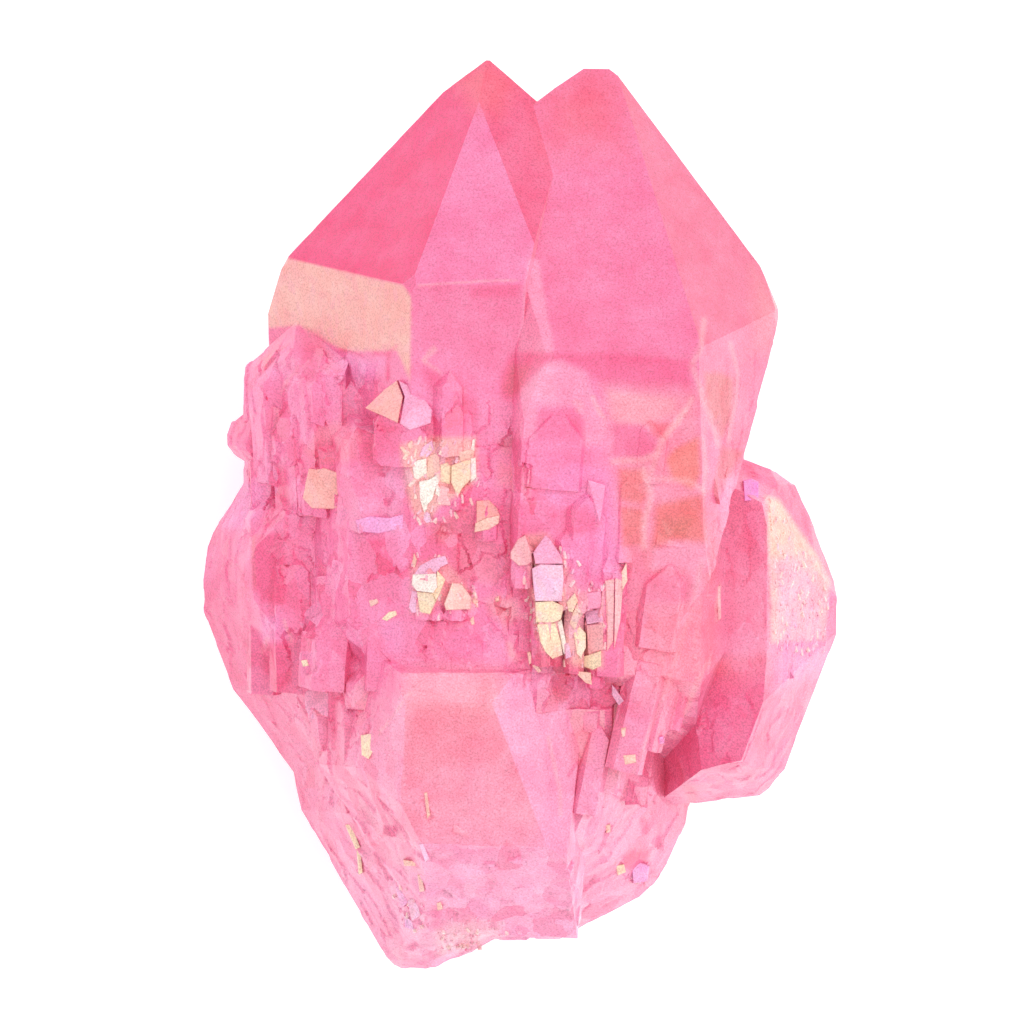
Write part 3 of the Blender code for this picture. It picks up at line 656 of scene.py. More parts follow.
    def _painted_iridescence(self, tree: bpy.types.NodeTree, along: bpy.types.NodeSocket, colour: bpy.types.NodeSocket,
                     film: bpy.types.NodeSocket) -> bpy.types.NodeSocket:
        """Paints the coat's cream, yellow and lilac reflections into the colour as fixed hues, patch by patch.

        Args:
            tree: the material's tree.
            along: the drawn-out place on the piece.
            colour: the colour underneath.
            film: how strongly the painted reflection shows, from 0 to 1.

        Returns:
            The colour with the painted reflections on it.
        """
        cells = add_node(tree, "ShaderNodeTexVoronoi", values={"Scale": 1 / (self.reflection_patch_mm * MM)},
                         links={"Vector": along})
        chance = add_node(tree, "ShaderNodeSeparateColor", links={"Color": cells.outputs["Color"]})
        hues = add_node(tree, "ShaderNodeValToRGB", {}, links={"Fac": chance.outputs[0]})
        set_ramp(hues, ((0.0, "#F9B9D8"), (0.22, "#F6B4A8"), (0.42, "#FBD9B8"), (0.60, "#FBE6C0"), (0.78, "#FFF6EC"),
                        (0.90, "#F8D2EC"), (1.0, "#F0B0E8")))
        share = add_node(tree, "ShaderNodeMath", {"operation": "MULTIPLY"}, {1: self.painted_reflection_share}, {0: film})
        return add_node(tree, "ShaderNodeMix", {"data_type": "RGBA"}, links={
            0: share.outputs[0], 6: colour, 7: hues.outputs["Color"]}).outputs[2]

    def _grain(self, tree: bpy.types.NodeTree, place: bpy.types.NodeSocket) -> bpy.types.NodeSocket:
        """The sugary grain. The real one is a few hundredths of a millimetre, drawn coarse enough to show."""
        fine = add_node(tree, "ShaderNodeTexNoise", values={"Scale": 1 / (self.grain_mm * MM), "Detail": 2.0,
                                                            "Roughness": 0.7}, links={"Vector": place})
        return fine.outputs["Fac"]

    def _with_grain(self, tree: bpy.types.NodeTree, colour: bpy.types.NodeSocket,
                    grain: bpy.types.NodeSocket) -> bpy.types.NodeSocket:
        """Lightens and darkens the colour by the grain.

        Args:
            tree: the material's tree.
            colour: the colour to vary.
            grain: the grain, from 0 to 1.

        Returns:
            The varied colour.
        """
        value = add_node(tree, "ShaderNodeMapRange", values={
            "From Min": 0.32, "From Max": 0.66, "To Min": 1 - 0.7 * self.grain_share, "To Max": 1 + self.grain_share},
            links={"Value": grain})
        return add_node(tree, "ShaderNodeHueSaturation", links={
            "Color": colour, "Value": value.outputs["Result"]}).outputs["Color"]


@dataclass(frozen=True)
class Patches:
    """Seeded uneven cells in space, each with a chance of its own, for steps and breaks in the crystal."""

    size_mm: tuple[float, float, float] = (1.1, 1.9, 1.1)
    seed: int = 3

    def at(self, places: np.ndarray) -> tuple[np.ndarray, np.ndarray]:
        """Finds the cell that each place lies in.

        Args:
            places: rows of X, Y and Z in millimetres.

        Returns:
            Rows of three chances from 0 to 1 of the cell's own, and rows of the way from its middle in cell sizes.
        """
        scaled = places / np.array(self.size_mm)
        base = np.floor(scaled).astype(np.int64)
        nearest = np.full(len(places), np.inf)
        chance, way = np.zeros((len(places), 3)), np.zeros((len(places), 3))
        for step in np.ndindex(3, 3, 3):
            cell = base + np.array(step) - 1
            own = np.stack([SmoothNoise(1.0, self.seed + turn).lattice(cell) for turn in range(3)], axis=1)
            gap = scaled - cell - own
            distance = (gap * gap).sum(axis=1)
            closer = distance < nearest
            nearest[closer], chance[closer], way[closer] = distance[closer], own[closer], gap[closer]
        return chance, way


@dataclass
class CrystalBody:
    """The whole cluster: the CAD solid with broken growth steps and a hue for each face."""

    material: bpy.types.Material
    name: str = "quartz_body"
    fine_edge_mm: float = 0.22
    coarse_edge_mm: float = 0.8
    step_mm: float = 0.20
    ripple_mm: float = 0.06
    bare_px: float = 22.0
    hidden_mm: float = 0.6
    weld_mm: float = 0.002
    flat_deg: float = 0.4
    front_slope: float = 0.12
    longest_share: float = 1.4
    small_facet_mm2: float = 6.0
    large_facet_mm2: float = 8.0
    seed: int = 41

    def build(self) -> bpy.types.Object:
        """Builds the piece in place of the CAD solid.

        Returns:
            The finished object.
        """
        mesh = self._merged_copy()
        facets = self._facets(mesh)
        self._refine(mesh)
        data = keep_mesh(mesh, self.name)
        places = read_vectors(data.vertices, "co") / MM
        jumble = self._jumble(PICTURE.pixels(places))
        self._relief(data, places, jumble)
        self._paint(data, facets, places, jumble)
        data.materials.append(self.material)
        return add_piece(self.name, data)

    def _merged_copy(self) -> bmesh.types.BMesh:
        """Copies the CAD node's loose triangles and joins them into flat faces."""
        mesh = bmesh.new()
        mesh.from_mesh(frame["nodes"][NODE].data)
        bmesh.ops.remove_doubles(mesh, verts=mesh.verts, dist=self.weld_mm * MM)
        bmesh.ops.dissolve_limit(mesh, angle_limit=math.radians(self.flat_deg), verts=mesh.verts, edges=mesh.edges)
        return mesh

    def _facets(self, mesh: bmesh.types.BMesh) -> dict[str, np.ndarray]:
        """Numbers the flat faces and keeps their normal, middle and area.

        Args:
            mesh: the merged mesh, one face for each facet.

        Returns:
            Arrays named normal, middle (mm) and area (mm2), one row for each facet.
        """
        number = mesh.faces.layers.int.new("facet")
        rows = []
        for place, face in enumerate(mesh.faces):
            face[number] = place
            rows.append((*face.normal, *(face.calc_center_median() / MM), face.calc_area() / MM ** 2))
        table = np.array(rows)
        return {"normal": table[:, :3], "middle": table[:, 3:6], "area": table[:, 6]}

    def _refine(self, mesh: bmesh.types.BMesh) -> None:
        """Cuts the faces into small triangles: fine on the front, coarser on the back."""
        bmesh.ops.triangulate(mesh, faces=mesh.faces)
        for _ in range(9):
            long_edges = [edge for edge in mesh.edges if edge.calc_length() > self._edge_limit(edge)]
            if not long_edges:
                break
            bmesh.ops.subdivide_edges(mesh, edges=long_edges, cuts=1, use_grid_fill=False)
            bmesh.ops.triangulate(mesh, faces=[face for face in mesh.faces if len(face.verts) > 3])

    def _edge_limit(self, edge: bmesh.types.BMEdge) -> float:
        """How long an edge may stay, by the way that its faces look."""
        height = max((face.normal.z for face in edge.link_faces), default=0.0)
        side = self.fine_edge_mm if height > self.front_slope else self.coarse_edge_mm
        return side * MM * self.longest_share

    def _jumble(self, pixels: np.ndarray) -> np.ndarray:
        """How broken the crystal is at each place: none on the large smooth faces, all in the middle."""
        amount = np.full(len(pixels), 0.35)
        for area in BROKEN_AREAS:
            weight = area.weight(pixels)
            amount = amount * (1 - weight) + area.amount * weight
        return amount

    def _relief(self, data: bpy.types.Mesh, places: np.ndarray, jumble: np.ndarray) -> None:
        """Moves the points a little along their normals: tilted steps where it is broken, ripples elsewhere.

        Args:
            data: the refined mesh.
            places: its points in millimetres.
            jumble: how broken the crystal is at each point.
        """
        normals = read_vectors(data.vertices, "normal")
        chance, way = Patches().at(places)
        steps = (chance[:, 0] - 0.5) + (way * (chance - 0.5)).sum(axis=1) * 1.3
        ripple = SmoothNoise(0.5, self.seed).at(places * np.array([1.0, 0.35, 1.0])) - 0.5
        lift = steps * self.step_mm * jumble + ripple * self.ripple_mm * (0.3 + jumble)
        lift[places[:, 2] < 0.05] = 0.0
        moved = places + normals * lift[:, None]
        moved[:, 2] = np.maximum(moved[:, 2], 0.0)
        data.vertices.foreach_set("co", (moved * MM).ravel())
        data.update()

    def _paint(self, data: bpy.types.Mesh, facets: dict[str, np.ndarray], places: np.ndarray,
               jumble: np.ndarray) -> None:
        """Gives each corner its tint (own hue with painted shade, light and reflections), its share of painted
        iridescent reflection and how broken it is.

        Args:
            data: the refined mesh.
            facets: the facets' own numbers.
            places: the points in millimetres, before the relief.
            jumble: how broken the crystal is at each point.
        """
        vertex = np.empty(len(data.loops), np.int64)
        data.loops.foreach_get("vertex_index", vertex)
        facet = np.empty(len(data.polygons), np.int64)
        data.attributes["facet"].data.foreach_get("value", facet)
        facet_of_loop = np.repeat(facet, 3)
        tint, film = self._facet_tints(facets)
        colours, painted_reflections = tint[facet_of_loop], film[facet_of_loop]
        spots = PICTURE.pixels(places)
        faces_up = (facets["normal"][facet_of_loop, 2] > 0.05) & self._in_sight(data, places)[vertex]
        # painted zones: the crystal's own hues, and painted shade, painted light and painted reflections
        for zone in ZONES:
            if zone.cover is Cover.PAINTED:
                weight = (zone.weight(spots)[vertex] * faces_up)[:, None]
                colours = colours * (1 - weight) + zone.tint.rgb * weight
                painted_reflections = np.maximum(painted_reflections * (1 - weight[:, 0]), zone.film * weight[:, 0])
        for vein in VEINS:
            near = np.clip(1.2 - distance_to_path(spots, vein.path) / vein.width, 0, 1)[vertex] * vein.strength
            near = (near * faces_up)[:, None]
            colours = colours * (1 - near) + vein.tint.rgb * near
        data.attributes.remove(data.attributes["facet"])
        store_looks(data, colours, painted_reflections, jumble[vertex])
        druse, steps = np.zeros(len(spots)), jumble.copy()
        for outline in DRUSE_AREAS:
            druse[inside_outline(spots, outline)] = 1.0
        for bright in FACETS:
            steps *= 1 - Zone("", bright.tint, bright.outline, 1.0, self.bare_px).weight(spots)
        for name, values in (("druse", druse), ("steps", np.where(steps > 0.6 * jumble, steps, 0.0))):
            data.attributes.new(name, "FLOAT", "POINT").data.foreach_set("value", values)

    def _in_sight(self, data: bpy.types.Mesh, places: np.ndarray) -> np.ndarray:
        """Tells which points show from above, so a hue on the front doesn't fall on what lies under it.

        Args:
            data: the refined mesh.
            places: its points in millimetres, before the relief.

        Returns:
            One truth value for each point.
        """
        ground = Ground(data)
        heights = (ground.height(*place[:2]) for place in places)
        return np.array([height is None or height < place[2] + self.hidden_mm
                         for height, place in zip(heights, places)])

    def _facet_tints(self, facets: dict[str, np.ndarray]) -> tuple[np.ndarray, np.ndarray]:
        """Gives each facet a hue by the way it faces (painted shade and light), by its zone and by its own chance.

        Args:
            facets: the facets' own numbers.

        Returns:
            The linear colours and the shares of painted iridescent reflection, one row for each facet.
        """
        chance = np.random.default_rng(self.seed)
        normal, middle, area = facets["normal"], facets["middle"], facets["area"]
        left, right = np.clip(-normal[:, 0], 0, 1), np.clip(normal[:, 0], 0, 1)
        tip, down = np.clip(normal[:, 1], 0, 1), np.clip(-normal[:, 1], 0, 1)
        colours = np.tile(Tint.ROSE.rgb, (len(normal), 1))
        # painted shade and light by facing: left-facing facets deeper, right-, tip- and down-facing ones paler
        for share, tint in ((left * 0.6, Tint.DEEP_MAGENTA), (right * 0.4, Tint.CORAL), (tip * 0.4, Tint.SOFT_ROSE),
                            (down * 0.5, Tint.PALE_ROSE)):
            colours = colours * (1 - share[:, None]) + tint.rgb * share[:, None]
        small = area < self.small_facet_mm2
        own = chance.random(len(normal))
        paler = np.where(small, np.clip(own - 0.62, 0, 1) * 1.1, 0.0)[:, None]
        colours = colours * (1 - paler) + Tint.PALE_VEIN.rgb * paler
        deeper = np.where(small, np.clip(0.3 - own, 0, 1) * 1.6, 0.0)[:, None]
        colours = colours * (1 - deeper) + Tint.DEEP_MAGENTA.rgb * deeper
        # painted reflection on a few small upward-facing facets, chosen by chance
        painted_reflections = np.where(small & (own > 0.95) & (normal[:, 2] > 0.2), 0.4, 0.0)
        spots = PICTURE.pixels(middle)
        # the big faces' tones from WHOLE_FACETS zones, partly painted shade and light by how each face lies
        for zone in ZONES:
            if zone.cover is Cover.WHOLE_FACETS:
                share = (zone.weight(spots) * (normal[:, 2] > 0.1) * (area > self.large_facet_mm2))[:, None]
                colours = colours * (1 - share) + zone.tint.rgb * share
        return colours, painted_reflections


class Ground:
    """The cluster's own surface, which smaller pieces are set on."""

    ABOVE_MM = 60.0

    def __init__(self, body: bpy.types.Mesh) -> None:
        """Keeps a search tree of the body's faces.

        Args:
            body: the body's mesh, in its place.
        """
        mesh = bmesh.new()
        mesh.from_mesh(body)
        self._tree = BVHTree.FromBMesh(mesh)
        mesh.free()

    def height(self, across: float, along: float) -> Optional[float]:
        """Gives how high the surface lies under a place, in millimetres, or nothing beside the cluster."""
        hit, _, _, _ = self._tree.ray_cast(Vector((across, along, self.ABOVE_MM)) * MM, Vector((0, 0, -1)))
        return None if hit is None else hit.z / MM


@dataclass(frozen=True)
class Facet:
    """One small bright crystal face on the front, drawn by its corners in the photograph's frame; its hue is mostly a
    painted reflection.
    """

    name: str
    tint: Tint
    outline: tuple[Pixel, ...]
    # share of painted iridescent reflection on the face
    film: float = 0.0
    proud_mm: float = 0.04


# The cream, ivory, peach and lilac of these small faces are mostly painted reflections.
FACETS: tuple[Facet, ...] = (
    # the bright patch in the middle
    Facet("patch_white_top", Tint.IVORY, ((413, 462), (427, 459), (428, 476), (420, 481), (415, 478)), 0.2),
    Facet("patch_lilac_top", Tint.PALE_LILAC, ((423, 448), (433, 441), (435, 450), (428, 458), (420, 457)), 0.1),
    Facet("patch_salmon", Tint.PALE_PEACH, ((428, 457), (440, 452), (441, 470), (432, 479), (428, 478)), 0.1),
    Facet("patch_white", Tint.IVORY, ((420, 482), (430, 480), (438, 475), (440, 482), (436, 490), (433, 500),
                                      (427, 506), (421, 498)), 0.1, 0.16),
    Facet("patch_sliver", Tint.IVORY, ((438, 484), (441, 489), (440, 497), (436, 494)), 0.2, 0.14),
    Facet("patch_tail", Tint.IVORY, ((421, 500), (429, 502), (428, 509), (425, 513)), 0.0, 0.12),
    Facet("patch_tail_lilac", Tint.PALE_LILAC, ((427, 511), (431, 513), (432, 521), (428, 524), (424, 519)), 0.2),
    Facet("patch_cream_left", Tint.CREAM, ((441, 465), (448, 463), (452, 467), (451, 485), (441, 482)), 0.6),
    Facet("patch_cream_right", Tint.CREAM, ((452, 466), (462, 462), (471, 460), (471, 480), (463, 488), (460, 494),
                                            (456, 492), (452, 483)), 0.4, 0.16),
    Facet("patch_white_edge", Tint.IVORY, ((471, 459), (476, 458), (477, 478), (471, 483)), 0.4, 0.12),
    Facet("patch_peach_top", Tint.PALE_PEACH, ((459, 453), (470, 450), (475, 452), (474, 458), (461, 462)), 0.2),
    Facet("patch_spur", Tint.IVORY, ((473, 440), (476, 439), (475, 452), (471, 451)), 0.2),
    Facet("patch_rose_foot", Tint.PALE_VEIN, ((441, 485), (450, 488), (452, 506), (443, 505), (437, 502)), 0.0),
    Facet("speck_left_a", Tint.PALE_PEACH, ((401, 448), (404, 447), (411, 455), (408, 458)), 0.1, 0.07),
    Facet("speck_left_b", Tint.PALE_PEACH, ((408, 445), (413, 441), (414, 443), (411, 451)), 0.1, 0.07),
    # single bright crystal ends
    Facet("cream_end", Tint.SALMON, ((477, 501), (489, 500), (497, 508), (500, 515), (486, 518), (477, 523)), 0.2),
    Facet("cream_end_foot", Tint.PALE_PEACH, ((476, 523), (486, 518), (500, 515), (499, 523), (490, 529),
                                              (475, 532)), 0.3, 0.13),
    Facet("block_lilac", Tint.PALE_LILAC, ((421, 565), (434, 558), (446, 555), (449, 563), (441, 567), (437, 573),
                                           (415, 574)), 0.0, 0.12),
    Facet("block_white", Tint.IVORY, ((414, 574), (437, 573), (438, 586), (434, 592), (418, 590), (413, 584)), 0.0,
          0.14),
    Facet("block_edge", Tint.CREAM, ((438, 570), (446, 579), (441, 592), (437, 600), (434, 592), (438, 586)), 0.2,
          0.12),
    Facet("block_foot", Tint.CREAM, ((418, 591), (434, 592), (437, 600), (431, 613), (421, 611)), 0.3, 0.12),
    Facet("block_left", Tint.PALE_LILAC, ((413, 590), (418, 591), (420, 611), (413, 612), (410, 606)), 0.0),
    Facet("bud", Tint.PALE_PEACH, ((453, 582), (462, 583), (472, 597), (471, 608), (447, 609), (445, 603)), 0.2, 0.13),
    Facet("bud_side", Tint.PALE_PEACH, ((474, 596), (479, 600), (476, 604), (472, 601)), 0.2),
    Facet("left_sliver", Tint.PALE_PEACH, ((412, 566), (415, 552), (418, 560), (416, 567)), 0.1, 0.07),
    Facet("left_speck_a", Tint.PALE_PEACH, ((370, 600), (378, 598), (380, 602), (372, 606)), 0.2, 0.07),
    Facet("left_speck_b", Tint.CREAM, ((383, 618), (390, 611), (397, 610), (398, 614), (388, 620)), 0.2, 0.07),
    Facet("lower_speck_a", Tint.PALE_PEACH, ((471, 617), (474, 615), (475, 623), (472, 624)), 0.1, 0.06),
    Facet("lower_speck_b", Tint.PALE_PEACH, ((495, 597), (499, 595), (500, 600), (496, 601)), 0.1, 0.06),
    # the see-through crystal's two faces, and the peach patch
    Facet("window_left", Tint.SALMON, ((398, 382), (404, 398), (399, 424), (385, 417), (367, 409), (386, 391)), 0.15,
          0.14),
    Facet("window_right", Tint.PALE_LILAC_ROSE, ((400, 382), (420, 392), (433, 411), (432, 424), (411, 431),
                                                 (401, 424), (406, 398)), 0.05, 0.14),
    Facet("peach_patch", Tint.SALMON, ((310, 469), (318, 470), (325, 468), (339, 473), (340, 490), (338, 509),
                                      (313, 508), (304, 498), (307, 482)), 0.2, 0.12),
    Facet("lilac_step", Tint.LILAC, ((357, 520), (372, 516), (390, 518), (405, 514), (404, 528), (380, 533),
                                     (360, 531)), 0.1),
    # the columns
    Facet("column_end_left", Tint.PALE_VEIN, ((511, 552), (518, 539), (525, 535), (531, 552), (532, 561), (527, 564),
                                              (519, 565), (511, 558)), 0.1, 0.13),
    Facet("column_end", Tint.PALE_LILAC_ROSE, ((533, 552), (545, 535), (549, 538), (561, 556), (562, 563),
                                               (535, 563)), 0.1, 0.16),
    Facet("column_top", Tint.PALE_LILAC, ((532, 568), (540, 563), (556, 564), (562, 564), (563, 578), (561, 600),
                                          (535, 600), (533, 582)), 0.25, 0.14),
    Facet("column_middle", Tint.CREAM, ((535, 601), (552, 600), (563, 605), (560, 618), (552, 621), (536, 621)), 0.45,
          0.12),
    Facet("column_low", Tint.CREAM, ((537, 623), (555, 622), (560, 640), (562, 653), (552, 657), (545, 650),
                                     (540, 640)), 0.5, 0.12),
    Facet("column_strip", Tint.IVORY, ((557, 621), (561, 618), (565, 638), (568, 654), (563, 652), (560, 638)), 0.2,
          0.10),
    Facet("column_lilac", Tint.PALE_LILAC, ((563, 642), (568, 641), (571, 655), (565, 657)), 0.2, 0.06),
    Facet("column_right_top", Tint.CREAM, ((566, 601), (574, 592), (577, 600), (572, 611), (568, 610)), 0.3, 0.12),
    Facet("column_right", Tint.PALE_PEACH, ((572, 612), (577, 601), (578, 618), (574, 629), (569, 622)), 0.4, 0.12),
    Facet("column_oval", Tint.CREAM, ((573, 632), (579, 625), (585, 632), (585, 646), (580, 656), (576, 652)), 0.4,
          0.12),
    Facet("column_rose", Tint.PALE_ROSE, ((585, 592), (600, 590), (601, 607), (586, 608)), 0.0, 0.08),
    Facet("column_square", Tint.PALE_LILAC, ((584, 610), (600, 608), (602, 620), (586, 623)), 0.1, 0.12),
    Facet("column_rose_low", Tint.PALE_VEIN, ((586, 624), (602, 622), (602, 648), (587, 652)), 0.0, 0.09),
    Facet("column_cream_low", Tint.CREAM, ((583, 655), (600, 649), (600, 664), (592, 668), (583, 665)), 0.3, 0.12),
    Facet("column_foot", Tint.PALE_PEACH, ((573, 669), (590, 671), (591, 683), (585, 681)), 0.0, 0.08),
    Facet("beige_streak_a", Tint.PALE_VEIN, ((604, 580), (613, 578), (612, 640), (606, 650), (605, 610)), 0.1, 0.09),
    Facet("beige_streak_b", Tint.PALE_VEIN, ((614, 577), (622, 580), (619, 620), (613, 648)), 0.1, 0.12),
    Facet("beige_tip", Tint.PALE_PEACH, ((620, 572), (625, 562), (626, 580), (621, 590)), 0.2, 0.09),
    Facet("violet_sliver", Tint.PALE_LILAC, ((611, 683), (614, 686), (623, 699), (618, 704), (611, 693)), 0.0, 0.08),
    Facet("slash_a", Tint.PALE_PEACH, ((527, 651), (530, 650), (533, 660), (529, 663)), 0.2, 0.07),
    Facet("slash_b", Tint.PALE_PEACH, ((532, 664), (536, 662), (541, 669), (538, 671)), 0.1, 0.07),
    # the lower end
    Facet("lower_lilac", Tint.PALE_LILAC_ROSE, ((305, 690), (318, 689), (330, 692), (329, 716), (312, 719),
                                                (306, 708)), 0.1),
    Facet("lower_cream", Tint.CREAM, ((362, 734), (372, 732), (375, 748), (370, 757), (363, 753)), 0.3),
    Facet("lower_cream_left", Tint.CREAM, ((302, 660), (308, 659), (310, 665), (304, 666)), 0.2, 0.07),
    Facet("low_sliver_a", Tint.PALE_PEACH, ((425, 790), (428, 789), (431, 812), (428, 816)), 0.1, 0.07),
    Facet("low_sliver_b", Tint.PALE_LILAC, ((420, 841), (424, 840), (430, 856), (426, 859)), 0.1, 0.07),
    Facet("low_slash_a", Tint.CREAM, ((345, 826), (350, 824), (360, 848), (355, 850)), 0.2, 0.08),
    Facet("low_slash_b", Tint.CREAM, ((356, 852), (360, 850), (362, 874), (358, 876)), 0.2, 0.08),
    Facet("low_slash_c", Tint.PALE_PEACH, ((404, 858), (416, 859), (417, 864), (405, 864)), 0.1, 0.07),
    Facet("low_slash_d", Tint.PALE_PEACH, ((418, 873), (422, 872), (425, 889), (420, 890)), 0.1, 0.07),
    Facet("low_slash_e", Tint.PALE_PEACH, ((437, 901), (441, 900), (443, 907), (438, 909)), 0.1, 0.07),
    Facet("low_white_a", Tint.PINK_LILAC, ((396, 888), (402, 884), (408, 902), (401, 908)), 0.4, 0.09),
    Facet("low_white_b", Tint.PALE_LILAC, ((408, 900), (416, 896), (421, 914), (412, 920)), 0.4, 0.09),
    Facet("low_white_c", Tint.PINK_LILAC, ((404, 916), (412, 921), (414, 931), (405, 928)), 0.4, 0.09),
    Facet("right_cream", Tint.CREAM, ((616, 866), (624, 865), (626, 873), (618, 876)), 0.3, 0.08),
    Facet("right_lilac", Tint.LILAC, ((632, 866), (641, 864), (650, 868), (648, 883), (634, 885)), 0.2, 0.09),
    Facet("right_speck_a", Tint.PALE_PEACH, ((605, 824), (610, 823), (610, 831), (606, 832)), 0.2, 0.07),
    Facet("right_speck_b", Tint.PALE_PEACH, ((620, 726), (625, 725), (624, 734), (621, 735)), 0.2, 0.07),
    Facet("right_speck_c", Tint.PALE_PEACH, ((622, 753), (634, 752), (635, 760), (624, 762)), 0.2, 0.07),
    Facet("right_speck_d", Tint.LILAC, ((657, 735), (662, 734), (663, 741), (658, 742)), 0.1, 0.07),
    # the right side crystal and the point's flank
    Facet("side_violet", Tint.VIOLET, ((742, 481), (750, 479), (757, 482), (757, 500), (743, 501)), 0.2, 0.08),
    Facet("flank_pale_line", Tint.PALE_VEIN, ((716, 586), (719, 585), (720, 618), (717, 620)), 0.0, 0.06),
)


@dataclass
class BrightFacets:
    """The small faces whose cream, peach and lilac are mostly painted reflections: low blocks of crystal, each with
    its own slope.
    """

    material: bpy.types.Material
    ground: Ground
    name: str = "bright_facets"
    sunk_mm: float = 0.45
    deepest_mm: float = 1.3
    clear_share: float = 0.85
    worn_edge_mm: float = 0.045
    steepest: float = 0.55
    inner_shares: tuple[float, float] = (0.45, 0.8)
    ridge_mm: tuple[float, float] = (-0.03, 0.09)
    ridge_shift_mm: float = 0.15
    tones: tuple[float, float] = (0.93, 1.03)
    jumble: float = 0.3
    seed: int = 17

    def build(self) -> bpy.types.Object:
        """Builds all the blocks as one piece.

        Returns:
            The finished object.
        """
        mesh = bmesh.new()
        number = mesh.faces.layers.int.new("block")
        chance = np.random.default_rng(self.seed)
        for place, facet in enumerate(FACETS):
            self._add_block(mesh, number, place, facet, chance)
        bmesh.ops.recalc_face_normals(mesh, faces=mesh.faces)
        bmesh.ops.triangulate(mesh, faces=mesh.faces)
        data = keep_mesh(mesh, self.name)
        self._paint(data, chance)
        data.materials.append(self.material)
        return add_piece(self.name, data)

    def _add_block(self, mesh: bmesh.types.BMesh, number: bmesh.types.BMLayerItem, place: int, facet: Facet,
                   chance: np.random.Generator) -> None:
        """Adds one block: a sloping top with a worn edge and a low ridge, and walls that go into the body.

        Args:
            mesh: the mesh to add to.
            number: the face layer that keeps which block a face is of.
            place: the block's own number.
            facet: its outline and hue.
            chance: the seeded source of unevenness.
        """
        corners = np.array([PICTURE.place(pixel) for pixel in facet.outline])
        middle = corners.mean(axis=0)
        inner = [middle] + [middle + (corner - middle) * share for corner in corners
                            for share in self.inner_shares]
        spots = [spot for spot in inner if self.ground.height(*spot) is not None]
        if len(spots) < 3:
            log.warning("%s lies beside the cluster", facet.name)
            return
        under = np.array([self.ground.height(*spot) for spot in spots])
        slope, *_ = np.linalg.lstsq(np.c_[np.array(spots), np.ones(len(spots))], under, rcond=None)
        slope[:2] = np.clip(slope[:2], -self.steepest, self.steepest)
        slope[2] = np.quantile(under - np.array(spots) @ slope[:2], self.clear_share) + facet.proud_mm
        table = np.c_[corners, np.ones(len(corners))]
        grounds = [self.ground.height(*corner) for corner in corners]
        tops, rims, feet = [], [], []
        for corner, height in zip(table, grounds):
            inward = middle - corner[:2]
            inward = inward / max(np.linalg.norm(inward), 1e-6) * self.worn_edge_mm
            top = float(corner @ slope)
            tops.append(mesh.verts.new(Vector((*(corner[:2] + inward), top)) * MM))
            rims.append(mesh.verts.new(Vector((*corner[:2], top - self.worn_edge_mm)) * MM))
            reach = self.sunk_mm if height is None else max(top - height, 0.0) + self.sunk_mm
            foot = top - min(reach, self.deepest_mm)
            feet.append(mesh.verts.new(Vector((*(corner[:2] - inward), foot)) * MM))
        ridge = float(np.array([*middle, 1.0]) @ slope) + chance.uniform(*self.ridge_mm)
        shift = chance.uniform(-self.ridge_shift_mm, self.ridge_shift_mm, 2)
        crown = mesh.verts.new(Vector((*(middle + shift), ridge)) * MM)
        count = len(corners)
        faces = [mesh.faces.new(feet)]
        for here in range(count):
            after = (here + 1) % count
            faces.append(mesh.faces.new((tops[here], tops[after], crown)))
            faces.append(mesh.faces.new((rims[here], rims[after], tops[after], tops[here])))
            faces.append(mesh.faces.new((feet[here], feet[after], rims[after], rims[here])))
        for face in faces:
            face[number] = place

    def _paint(self, data: bpy.types.Mesh, chance: np.random.Generator) -> None:
        """Gives every face of a block its hue, mostly a painted reflection, a little different from face to face."""
        block = np.empty(len(data.polygons), np.int64)
        data.attributes["block"].data.foreach_get("value", block)
        tones = np.array([facet.tint.rgb for facet in FACETS])[block]
        tones = tones * chance.uniform(*self.tones, (len(block), 1))
        painted_reflections = np.array([facet.film for facet in FACETS])[block]
        data.attributes.remove(data.attributes["block"])
        store_looks(data, np.repeat(tones, 3, axis=0), np.repeat(painted_reflections, 3), np.full(len(block) * 3, self.jumble))


class SeedShape(Enum):
    """What a small grown-on crystal is like."""

    SHARD = "an uneven broken block"
    POINT = "a six-sided crystal with a pointed end"


